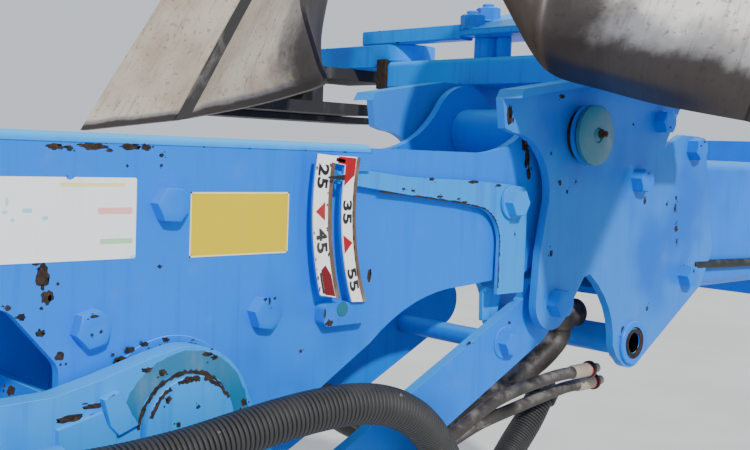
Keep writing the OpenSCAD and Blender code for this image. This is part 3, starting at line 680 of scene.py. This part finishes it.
# A row has name, body, face, X, Z, width, height, the washer's radius and thickness, and the turn
SIDE_BOLTS = [("arm_bolt_upper", "arm", ARM_FACE, 339, 103, 32, ARM_HEAD, 0.0, 0.0, 0.2),
              ("arm_bolt_front", "arm", ARM_FACE, 257, -11, 32, ARM_HEAD, 0.0, 0.0, 0.5),
              ("arm_bolt_rear", "arm", ARM_FACE, 458, -12, 32, ARM_HEAD, 0.0, 0.0, 0.1),
              ("plate_bolt_top", "beam", PLATE_FACE, 1182, 222, 31, PLATE_HEAD, 0.0, 0.0, 0.3),
              ("plate_bolt_upper", "beam", PLATE_FACE, 1129, 134, 31, PLATE_HEAD, 0.0, 0.0, 0.1),
              ("plate_bolt_rear", "beam", PLATE_FACE, 1281, 185, 31, PLATE_HEAD, 0.0, 0.0, 0.6),
              ("plate_bolt_low", "beam", PLATE_FACE, 1277, -15, 31, PLATE_HEAD, 0.0, 0.0, 0.2),
              ("lever_pin_bolt", "beam", PLATE_FACE, 943, -34, 34, 18, 0.0, 0.0, 0.35),
              ("tube_bolt", "levers", LEVER_FACE, 871, -86, 28, 15, 22, 2.5, 0.2)]
CAP_NUTS = [("cap_nut_front", 1048, 138, 360), ("cap_nut_rear", 1090, 142, 376)]
PIN_HEAD = 26
# A row of a turned profile has the distance along its axis, the radius and the material's number
PIN_PROFILE = [(0, 0, 0), (0, 7, 0), (1.6, 9, 0), (0, 11, 0), (0, 37, 0), (2.5, 41, 0), (8, 41, 0),
               (9, 38.5, 1), (11, 38.5, 1), (12, 41, 2), (17, 41, 2), (18, 36, 1), (PIN_HEAD, 36, 1),
               (PIN_HEAD, 25, 1)]
NIPPLE_PROFILE = [(0, 0, 0), (0, 6.5, 0), (3, 6.5, 0), (3.5, 3.6, 0), (7, 3.2, 0), (8, 4.2, 0), (10, 4.0, 0),
                  (11, 2, 0), (11, 0, 0)]
EYE_PROFILE = [(0, 22.2, 0), (0, 33, 0), (4, 33, 0), (5.5, 31.5, 0), (5.5, 24, 0), (4, 22.2, 1), (0, 22.2, 1)]
LINING_PROFILE = [(-1, 15.6, 0), (-1, 21, 0), (1.5, 21, 0), (1.5, 15.6, 0), (-1, 15.6, 0)]
EYE_X, EYE_Z = 1137, -108


def add_bolts():
    """Bolts on both faces of the joint and nuts on the bracket. The photograph shows the near ones."""
    for side, end in SIDES:
        for name, body, face, x, z, width, height, washer_r, washer_t, turn in SIDE_BOLTS:
            at = (x, -side * face, z)
            mesh = bolt_mesh(name, at, (0, side, 0), width, height, washer_r, washer_t, turn)
            add_piece(f"{name}_{end}", mesh, body, "blue_paint", BLUE)
    for name, x, y, z in CAP_NUTS:
        for side, end in SIDES:
            mesh = bolt_mesh(name, (x, side * y, z), (-0.05, 0, 1), 34, 20, 19, 3, 0.3, 6.0)
            add_piece(f"{name}_{end}", mesh, "beam", "blue_paint", FADED_TOP_LIT)


def add_main_pin():
    """The pin through the joint, with a groove and a neck in each head and a nipple in the near one."""
    length = 2 * (PIN_HEAD - PLATE_FACE)
    profile = PIN_PROFILE + [(length - s, r, slot) for s, r, slot in reversed(PIN_PROFILE)]
    base = MAIN_PIN + Vector((0, PLATE_FACE - PIN_HEAD, 0))
    mesh = turned_mesh("main_pin_heads", base, (0, 1, 0), profile, 64)
    # The heads' faces are painted shade over worn paint.
    pin = add_piece("main_pin_heads", mesh, "beam", "blue_paint", PIN_SHADE_PAINT, IRON, BLUE)
    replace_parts(pin, "main_pin")
    nipple = turned_mesh("grease_nipple", base + Vector((6, 1, 2)), (0, -1, 0), NIPPLE_PROFILE, 24)
    add_piece("grease_nipple", nipple, "beam", "rusty_iron", IRON)


def add_eye_rings():
    """A raised ring round the draft eye on each side, and its worn bush."""
    for side, end in SIDES:
        out = (0, side, 0)
        mesh = turned_mesh("eye_ring", (EYE_X, -side * PLATE_FACE, EYE_Z), out, EYE_PROFILE, 48)
        add_piece(f"eye_ring_{end}", mesh, "beam", "blue_paint", BLUE, IRON)
        mesh = turned_mesh("eye_lining", (EYE_X, side * EYE_BUSH_END, EYE_Z), out, LINING_PROFILE, 48)
        add_piece(f"eye_lining_{end}", mesh, "beam", "rusty_iron", IRON)


# Scale and labels. Radii are from the pointer's pivot, angles from the line that runs forward from it
STRIP_T = 1.8
BACK_T = 4
FOOT_T = 16
PRINT_T = 0.15
# A band's row has its inner and outer radius, the outer edge's two angles and the inner edge's
STRIPS = [(327, 347, 9.1, -16.4, 9.4, -18.2), (291, 306, 10.0, -20.8, 10.4, -22.1),
          (306, 327, 9.4, 8.1, 10.0, 8.1)]
BACKING = [(320.5, 346, 9.1, -16.8, 9.6, -18.8), (287, 306, 9.9, -20.8, 10.4, -22.1),
           (306, 320.5, 9.6, 8.1, 9.9, 8.1)]
WORN_EDGES = [(285.5, 291, 10.4, -22.1, 10.4, -22.4), (321, 327, 8.1, -18.2, 8.1, -18.8)]
# A foot's row has its corners' X and Z, and the corners' radius
FEET = [(533, -33, 597, -8, 8), (555, 139, 595, 150, 2)]
# A number's row has its text, radius, angle, height and how far it is stretched
NUMBERS = [("25", 337.5, 5.2, 19.5, 1.3), ("45", 337.0, -6.7, 19.5, 1.3), ("35", 299.0, -1.6, 17.0, 1.5),
           ("55", 298.5, -16.3, 17.0, 1.5)]
FONT_SIZE = 19.5
RED_TOP = [(318, 9.55), (292, 10.1), (291.5, 6.4), (305.5, 3.8), (306, 8.2), (318, 8.2)]
RED_FOOT = [(341, -12), (334, -11.3), (328, -13.5), (327.5, -17.9), (341, -16.7)]
EDGE_RADII = (290, 328, 346.5)
EDGE_SPOTS = 26
PLUG_PROFILE = [(0, 0, 0), (0, 8, 0), (0.6, 8, 0), (1.2, 6.5, 0), (1.2, 0, 0)]
POINTER_TIP = [(545, 129), (545, 135), (538, 134), (523, 133), (521, 131), (538, 130)]
TIP_FACE = -126.5
STEM_FACE = -122


def add_number(text, radius, angle, size, stretch):
    """A number on a strip, read downward, with its top towards the pointer's pivot."""
    curve = bpy.data.curves.new("number", "FONT")
    curve.body = text
    curve.size = FONT_SIZE
    curve.offset = 0.75
    curve.extrude = 0.08
    curve.space_character = 1.12
    curve.align_x = "CENTER"
    curve.align_y = "CENTER"
    shape = bpy.data.objects.new("number", curve)
    bpy.context.scene.collection.objects.link(shape)
    bpy.context.view_layer.update()
    mesh = bpy.data.meshes.new_from_object(shape)
    bpy.data.objects.remove(shape)
    turn = math.radians(angle)
    inward = Vector((math.cos(turn), 0, -math.sin(turn)))
    down = Vector((-math.sin(turn), 0, -math.cos(turn)))
    x, z = ring_place(radius, angle)
    place = Matrix((down, inward, down.cross(inward))).transposed().to_4x4()
    place.translation = Vector((x, STRIP_FACE - 0.12, z))
    scale = size / FONT_SIZE
    mesh.transform(place @ Matrix.Diagonal((scale * stretch, scale, 1, 1)))
    add_piece(f"number_{text}", mesh, "arm", "scale_white", INK)


def triangle(radius, angle, width, height):
    """A triangle that points outward, or inward where its width is negative."""
    spread = math.degrees(height / 2 / radius)
    return [ring_place(radius + width / 2, angle), ring_place(radius - width / 2, angle + spread),
            ring_place(radius - width / 2, angle - spread)]


def add_scale():
    """The scale's backing plate, its two feet and its white strips."""
    bands = [arc_band(*row) for row in BACKING]
    back = sheet_mesh("scale_back", bands, STRIP_FACE + STRIP_T + BACK_T, BACK_T, paired=True)
    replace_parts(add_piece("scale_back", back, "arm", "blue_paint", BLUE), "scale_plate")
    feet = [round_plate(*row) for row in FEET]
    foot = flat_piece("scale_feet", feet, ARM_FACE, FOOT_T, "arm", "blue_paint", BLUE, EDGE)
    bevel = foot.modifiers.new("bevel", "BEVEL")
    bevel.width = 1.2 * MM
    bevel.segments = 2
    bevel.material = 1
    bands = [arc_band(*row) for row in STRIPS]
    mesh = sheet_mesh("scale_faces", bands, STRIP_FACE + STRIP_T, STRIP_T, paired=True)
    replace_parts(add_piece("scale_faces", mesh, "arm", "scale_white", WHITE), "scale_strips")


def add_scale_marks():
    """The strips' numbers, red marks, black lines and rusty edges."""
    for entry in NUMBERS:
        add_number(*entry)
    red = [[ring_place(*spot) for spot in RED_TOP]]
    red += [triangle(337.5, -1.2, 13, 21), triangle(298.5, -8.3, -13, 21)]
    flat_piece("scale_red", red, STRIP_FACE, PRINT_T, "arm", "scale_white", RED)
    dark = [[ring_place(*spot) for spot in RED_FOOT]]
    flat_piece("scale_foot_mark", dark, STRIP_FACE, PRINT_T, "arm", "scale_white", DARK_RED)
    black = [arc_band(341, 343.5, -12.4, -16.4, steps=8), arc_band(308, 321, 9.2, 8.5, steps=6)]
    flat_piece("scale_lines", black, STRIP_FACE, PRINT_T, "arm", "scale_white", INK, paired=True)
    worn = [arc_band(*row) for row in WORN_EDGES]
    flat_piece("scale_edges", worn, STRIP_FACE + STRIP_T, STRIP_T - 0.2, "arm", "rusty_iron", OLD_EDGE,
               paired=True)


def add_scale_rust():
    """Rust along the strips' edges and on the lower foot, and the plug in that foot."""
    chance = random.Random(5)
    chips = []
    for _ in range(EDGE_SPOTS):
        x, z = ring_place(chance.choice(EDGE_RADII), chance.uniform(-16, 8.6))
        chips.append(blot(x, z, chance.uniform(1, 2.2), chance.uniform(2, 6), chance))
    foot_chips = [blot(541, -29, 11, 8, chance), blot(534.5, -18, 3, 12, chance)]
    flat_piece("scale_rust", chips, STRIP_FACE, 0.2, "arm", "rusty_iron", IRON)
    flat_piece("foot_rust", foot_chips, ARM_FACE - FOOT_T, 0.2, "arm", "rusty_iron", IRON)
    plug = turned_mesh("scale_plug", (560, ARM_FACE - FOOT_T, -15), (0, -1, 0), PLUG_PROFILE, 32)
    add_piece("scale_plug", plug, "arm", "blue_paint", TEAL)


def add_pointer_tip():
    """The pointer's black tip over the strips, and the stem that carries it."""
    flat_piece("pointer_tip", [POINTER_TIP], TIP_FACE, 1.5, "pointer", "blue_paint", INK)
    stem = [round_plate(540, 128, 544, 136, 0.5)]
    flat_piece("pointer_stem", stem, STEM_FACE, 5, "pointer", "blue_paint", LIGHT)


# Labels. A stripe's row has its name, its material and its corners' X and Z
WHITE_LABEL = (120, 51.5, 305.5, 128)
YELLOW_LABEL = (368, 51, 490, 113)
RIM_W = 1.5
LABEL_T = 0.35
STRIPE_T = 0.1
STRIPES = [("stripe_yellow", STRIPE_YELLOW, (227, 119.5, 293, 123)),
           ("stripe_red", STRIPE_RED, (265, 94, 301, 100)),
           ("stripe_green", STRIPE_GREEN, (268, 66, 302, 71)),
           ("stripe_cyan", STRIPE_CYAN, (192, 96, 201, 100))]


def add_labels():
    """Two bare labels, with the faded stripes and smears of the white one."""
    white = [round_plate(*WHITE_LABEL, 2)]
    flat_piece("label_white", white, ARM_FACE, LABEL_T, "arm", "scale_white", LABEL)
    yellow = [round_plate(*YELLOW_LABEL, 4)]
    flat_piece("label_yellow", yellow, ARM_FACE, LABEL_T, "arm", "scale_white", YELLOW)
    for name, material, corners in STRIPES:
        stripe = [round_plate(*corners, 1)]
        flat_piece(name, stripe, ARM_FACE - LABEL_T, STRIPE_T, "arm", "scale_white", material)
    chance = random.Random(3)
    lost = [blot(*row, chance) for row in LABEL_BLOTS]
    flat_piece("label_notch", lost[:1], ARM_FACE - LABEL_T, STRIPE_T, "arm", "scale_white", BLUE)
    flat_piece("label_wear", lost[1:], ARM_FACE - LABEL_T, STRIPE_T, "arm", "scale_white", STRIPE_CYAN)
    x0, z0, x1, z1 = YELLOW_LABEL
    left, low, right, high = x0 - RIM_W, z0 - RIM_W, x1 + RIM_W, z1 + RIM_W
    bars = [(left, low, right, z0), (left, z1, right, high), (left, low, x0, high), (x1, low, right, high)]
    rims = [[(a, c), (b, c), (b, d), (a, d)] for a, c, b, d in bars]
    flat_piece("label_rim", rims, ARM_FACE, 0.3, "arm", "scale_white", YELLOW_RIM)


# Rust and dirt, and by the side plate's edge painted shade as well. Each row has X, Z, width and height on its
# face
LABEL_BLOTS = [(237, 128, 7, 5), (176, 97, 5, 3), (183, 90, 4, 3), (213, 91, 6, 4), (303, 53, 5, 4),
               (178, 106, 3, 7)]
ARM_CHIPS = [(221, 155, 16, 6), (236, 154, 8, 5), (260, 156, 26, 7), (297, 157, 22, 6), (315, 157, 10, 6),
             (332, 150, 5, 4), (295, 139, 3, 3), (332, 140, 3, 3), (333, 42, 4, 4), (212, 40, 13, 22),
             (217, 20, 12, 12), (206, 52, 8, 6), (615, 17, 6, 16), (193, 4, 8, 6), (211, -12, 9, 6),
             (230, -35, 9, 9), (180, 13, 6, 5), (184, -60, 7, 10), (515, -60, 4, 4)]
# Dark patches on the arm by the side plate's edge: partly dirt, partly painted shade between the parts.
GRIME_AND_SHADE = [(886, 198, 16, 16), (893, 180, 14, 24), (899, 160, 12, 26), (903, 140, 9, 20), (880, 207, 14, 8)]
POINTER_CHIPS = [(702, 131, 9, 4), (778, 128, 18, 4), (828, 124, 10, 4), (671, 117, 7, 3), (718, 110, 12, 3),
                 (764, 103, 10, 3), (655, 119, 6, 3), (752, 107, 5, 3), (866, 60, 3, 5)]
PLATE_CHIPS = [(934, 244, 12, 6), (916, 168, 4, 5), (939, 129, 6, 8), (956, 117, 5, 6), (975, 131, 4, 5),
               (927, 34, 7, 10), (1152, 103, 7, 11), (1240, 92, 6, 14), (1246, 60, 10, 10),
               (1215, 98, 5, 6), (1241, 108, 5, 7), (1110, 215, 5, 4), (1175, -60, 5, 8),
               (1133, -84, 14, 12), (1112, -92, 8, 22), (1160, -124, 6, 8), (1286, -4, 12, 8),
               (825, 214, 12, 26), (1250, 40, 5, 9), (862, 180, 5, 5)]
ROCKER_CHIPS = [(368, -42, 12, 5), (376, -46, 8, 5), (317, -54, 9, 7), (414, -96, 7, 8), (233, -98, 8, 26),
                (224, -84, 26, 7), (246, -76, 20, 5), (262, -112, 10, 12), (140, -90, 8, 5),
                (300, -50, 10, 5)]
RING_CHIPS = [(290, -44, 14, 8), (300, -36, 10, 6), (316, -32, 9, 5), (368, -38, 16, 5), (340, -30, 8, 5)]
LEVER_CHIPS = [(880, -60, 6, 4), (700, -170, 10, 5), (620, -230, 7, 6), (800, -80, 8, 4)]
BOLT_CHIPS = [(255, 2, 9, 3), (253, -15, 3, 3), (262, -13, 3, 3), (457, 1, 3, 8), (452, 4, 4, 3),
              (464, 4, 3, 3)]
PLATE_BOLT_CHIPS = [(1284, 196, 7, 3), (1274, 190, 4, 3), (1274, -6, 4, 5), (1181, 214, 4, 3),
                    (1128, 145, 5, 2)]
SHAFT_CHIPS = [(318, -78, 7, 8), (340, -62, 12, 7), (352, -90, 5, 4), (330, -104, 6, 5)]


# A row has the piece's name, its body, its face and its chips
RUST = [("rust_arm", "arm", ARM_FACE, ARM_CHIPS),
        ("grime_and_shade", "arm", ARM_FACE, GRIME_AND_SHADE),
        ("rust_pointer", "pointer", POINTER_FACE, POINTER_CHIPS),
        ("rust_plate", "beam", PLATE_FACE, PLATE_CHIPS),
        ("rust_rocker", "rocker", ROCKER_FACE, ROCKER_CHIPS),
        ("rust_ring", "arm", RING_FACE, RING_CHIPS),
        ("rust_lever", "levers", LEVER_FACE, LEVER_CHIPS),
        ("rust_shaft", "rocker", SHAFT_FACE, SHAFT_CHIPS),
        ("rust_arm_bolts", "arm", ARM_FACE - ARM_HEAD, BOLT_CHIPS),
        ("rust_plate_bolts", "beam", PLATE_FACE - PLATE_HEAD, PLATE_BOLT_CHIPS)]


def add_chips():
    """Each chip with two small ones by it."""
    chance = random.Random(11)
    for name, body, face, chips in RUST:
        outlines = []
        for x, z, width, height in chips:
            outlines.append(blot(x, z, width, height, chance))
            for _ in range(2):
                away = Vector((chance.uniform(-1, 1) * width, chance.uniform(-1, 1) * height))
                outlines.append(blot(x + away.x, z + away.y, 0.3 * width, 0.3 * height, chance, 9))
        flat_piece(name, outlines, face, 0.12, body, "rusty_iron", IRON)


def add_grime_and_shade_line():
    """Brown dirt and painted shade along the lower edge of the pointer's bar and the inner edge of its leg."""
    chance = random.Random(6)
    corner_x, corner_z, corner_r = 787, 48, 48
    turns = [math.radians(a) for a in range(12, 91, 6)]
    corner = [(corner_x + corner_r * math.sin(a), corner_z + corner_r * math.cos(a)) for a in turns]
    edge = [(615, 115), (669, 110.6), (712, 106), (755, 101.6), *corner, (835, 30), (835, 0), (835, -18)]
    edge = [Vector(spot) for spot in edge]
    band = []
    for a, b in zip(edge, edge[1:]):
        band += [a.lerp(b, k / 4) for k in range(4)]
    ways = [(b - a).normalized() for a, b in zip(band, band[1:])]
    inner = [p + Vector((-way.y, way.x)) * chance.uniform(0.8, 3.0) for p, way in zip(band, ways)]
    outline = band[:-1] + inner[::-1]
    # A thin dark line: partly dirt, partly painted shade under the bar's edge.
    flat_piece("pointer_grime_and_shade", [outline], POINTER_FACE, 0.1, "pointer", "rusty_iron", IRON, paired=True)


def add_broken_rim():
    """The ragged rust round the head of the rocker's shaft, and a teal crescent of painted shadow beside it."""
    chance = random.Random(8)
    centre = Vector((345, 0, -110))

    def ragged(inner, outer, start, end, steps, swing):
        angles = [start + (end - start) * k / steps for k in range(steps + 1)]
        far = [ring_place(outer + chance.uniform(-swing, swing), a, centre) for a in angles]
        near = [ring_place(inner + chance.uniform(-swing, swing), a, centre) for a in reversed(angles)]
        return far + near

    def add(name, bands, face, thickness, slot, material):
        flat_piece(name, bands, face, thickness, "rocker", slot, material, paired=True)

    # A teal crescent of painted shadow beside the shaft's head.
    crescent = [ragged(55, 74, 8, 176, 40, 0.8)]
    add("shadow_crescent", crescent, ROCKER_FACE, 0.08, "blue_paint", SHADE_TEAL)
    rust = [ragged(50.5, 55, 5, 176, 50, 1.2), ragged(50.5, 53.5, 180, 340, 40, 0.8)]
    add("shaft_rust", rust, ROCKER_FACE, 0.3, "rusty_iron", IRON)
    flakes = [ragged(46, 50, 70, 100, 10, 1.5), ragged(47, 50.5, 105, 150, 14, 1.2)]
    flakes.append(ragged(46.5, 50.5, 20, 60, 12, 1.2))
    add("shaft_flakes", flakes, SHAFT_FACE, 0.15, "rusty_iron", IRON)


def add_beam_pipe():
    """A hydraulic pipe along the beam's near side, held by two clips out of the picture."""
    pipe_y, clip_w = -120.5, 12
    line = even_line([Vector((1310, pipe_y, 0)), Vector((1678, pipe_y, -9))], 12)
    add_piece("beam_pipe", tube_mesh("beam_pipe", line, lambda s: 7.0, 24), "beam", "black_rubber", BLACK)
    for number, x in enumerate((1560, 1650)):
        z = 1 - (x - 1250) * 10 / 428
        x0, x1 = x - clip_w / 2, x + clip_w / 2
        line = [Vector((spot, pipe_y, z)) for spot in (x0, x, x1)]
        clip = tube_mesh("pipe_clip", line, lambda s: 8.4, 24)
        add_piece(f"pipe_clip_{number}", clip, "beam", "blue_paint", BLUE)
        outline = [(x0, z + 8.2), (x1, z + 8.2), (x1, z + 20), (x0, z + 20)]
        foot = sheet_mesh("pipe_foot", [outline], -113, 3)
        add_piece(f"pipe_foot_{number}", foot, "beam", "blue_paint", BLUE)


# Moldboards and shares. A row has its place across the joint, then the points X, Z of the worked face
BOARD_ROWS = [[180, [735, 342], [727, 372], [735, 425], [775, 512], [840, 600]],
              [195, [775, 284], [763, 316], [768, 376], [802, 490], [866, 604]],
              [211, [800, 259], [786, 292], [790, 352], [826, 478], [893, 608]],
              [278, [796, 242], [783, 272], [797, 330], [850, 462], [925, 612]],
              [355, [778, 225], [768, 255], [791, 312], [860, 448], [955, 612]],
              [420, [763, 214], [762, 244], [791, 300], [866, 430], [975, 608]],
              [478, [749, 205], [766, 234], [796, 285], [870, 412], [986, 601]]]
SHARE_ROWS = [[503, [735, 200], [752, 229], [782, 280], [859, 409], [974, 595]],
              [640, [642, 178], [660, 207], [694, 261], [791, 411], [890, 560]]]
BOARD_T = 9
TOP_LIMIT = 611.5
SHARE_T = 11
SEAM_STEP = 2.5
# The dark edge of scale and painted shade is narrow on the far boards, where it is only the shade of the rim.
NEAR_BAND = 1.0
FAR_BAND = 5.0


def plate_piece(name, rows, side, thickness, band, material):
    """A curved plate through the rows, smooth both ways. Its dark edge, partly scale and partly painted shade,
    is narrower where band is larger.
    """
    fine = [smooth_line([(x, side * row[0], z) for x, z in row[1:]], 7) for row in rows]
    fine = [[Vector((p.x, p.y, min(p.z, TOP_LIMIT))) for p in line] for line in fine]
    columns = []
    for points in zip(*fine):
        if len(rows) == 2:
            columns.append([points[0].lerp(points[1], k / 14) for k in range(15)])
        else:
            columns.append(smooth_line(points, 6))
    tall, wide = len(columns), len(columns[0])
    count = tall * wide
    points = [p for column in columns for p in column]
    points += [p + Vector((thickness, 0, 0)) for p in points]

    def at(i, j, back=0):
        return back * count + i * wide + j

    faces = []
    for i in range(tall - 1):
        for j in range(wide - 1):
            faces.append((at(i, j), at(i + 1, j), at(i + 1, j + 1), at(i, j + 1)))
            faces.append((at(i, j, 1), at(i, j + 1, 1), at(i + 1, j + 1, 1), at(i + 1, j, 1)))
    rim = [(i, 0) for i in range(tall)] + [(tall - 1, j) for j in range(1, wide)]
    rim += [(i, wide - 1) for i in range(tall - 2, -1, -1)] + [(0, j) for j in range(wide - 2, 0, -1)]
    for (i, j), (k, m) in zip(rim, rim[1:] + rim[:1]):
        faces.append((at(i, j), at(k, m), at(k, m, 1), at(i, j, 1)))
    mesh = bpy.data.meshes.new(name)
    mesh.from_pydata(points, [], faces)
    solid = bmesh.new()
    solid.from_mesh(mesh)
    bmesh.ops.recalc_face_normals(solid, faces=solid.faces)
    solid.to_mesh(mesh)
    solid.free()
    reach = [(columns[i][j] - columns[0][j]).length * MM * band for i in range(tall) for j in range(wide)]
    note_numbers(mesh, "reach", reach * 2)
    inner = [(abs(p.y) - BOARD_ROWS[0][0]) * MM for p in points]
    note_numbers(mesh, "inner", inner)
    return add_piece(name, mesh, "beam", "worn_steel", material, sharp=50.0)


def add_boards():
    """Moldboard, share and the dark seam between them, on each side."""
    for side, end in SIDES:
        band = NEAR_BAND if side < 0 else FAR_BAND
        # The near side gets the paler steel, partly painted light.
        steel = NEAR_STEEL_LIT if side < 0 else STEEL
        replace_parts(plate_piece(f"moldboard_{end}", BOARD_ROWS, side, BOARD_T, band, steel), f"board_{end}")
        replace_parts(plate_piece(f"share_plate_{end}", SHARE_ROWS, side, SHARE_T, band, steel), f"share_{end}")
        seam_rows = []
        for y, *spots in (BOARD_ROWS[-1], SHARE_ROWS[0]):
            seam_rows.append([y, *[[x + SEAM_STEP, z] for x, z in spots]])
        plate_piece(f"seam_strip_{end}", seam_rows, side, BOARD_T - SEAM_STEP, band, DULL_IRON)


# Stage. The floor's drop and reach are in metres
FLOOR_DROP = 0.45
SKY_COLOUR = (0.84, 0.9, 1.0, 1)
SKY_STRENGTH = 0.85
SUN_ENERGY = 3.6
SUN_COLOUR = (1.0, 0.97, 0.92)
SUN_WAY = (0.495, 1.0, -0.68)


def spare_shadows():
    """The near body's guessed back parts throw no shadow on the side plate, as the photograph shows none."""
    for node in ("frog_near", "landside_near", "leg_near"):
        NODES[node].visible_shadow = False


def add_stage():
    low = CAD_BOX[0][2] - FLOOR_DROP
    mesh = bpy.data.meshes.new("floor")
    mesh.from_pydata([(-30, -30, low), (40, -30, low), (40, 40, low), (-30, 40, low)], [], [(0, 1, 2, 3)])
    mesh.materials.append(pale_floor())
    floor = bpy.data.objects.new("floor", mesh)
    bpy.context.scene.collection.objects.link(floor)
    world = bpy.data.worlds.new("world")
    world.use_nodes = True
    world.node_tree.nodes["Background"].inputs[0].default_value = SKY_COLOUR
    world.node_tree.nodes["Background"].inputs[1].default_value = SKY_STRENGTH
    bpy.context.scene.world = world
    sun = bpy.data.objects.new("sun", bpy.data.lights.new("sun", "SUN"))
    sun.data.energy = SUN_ENERGY
    sun.data.angle = math.radians(2)
    sun.data.color = SUN_COLOUR
    sun.rotation_euler = Vector(SUN_WAY).to_track_quat("-Z", "Y").to_euler()
    bpy.context.scene.collection.objects.link(sun)


add_camera()
add_hoses()
dress_nodes()
add_bolts()
add_main_pin()
add_eye_rings()
add_scale()
add_scale_marks()
add_scale_rust()
add_pointer_tip()
add_labels()
add_chips()
add_grime_and_shade_line()
add_broken_rim()
add_beam_pipe()
add_boards()
spare_shadows()
add_stage()
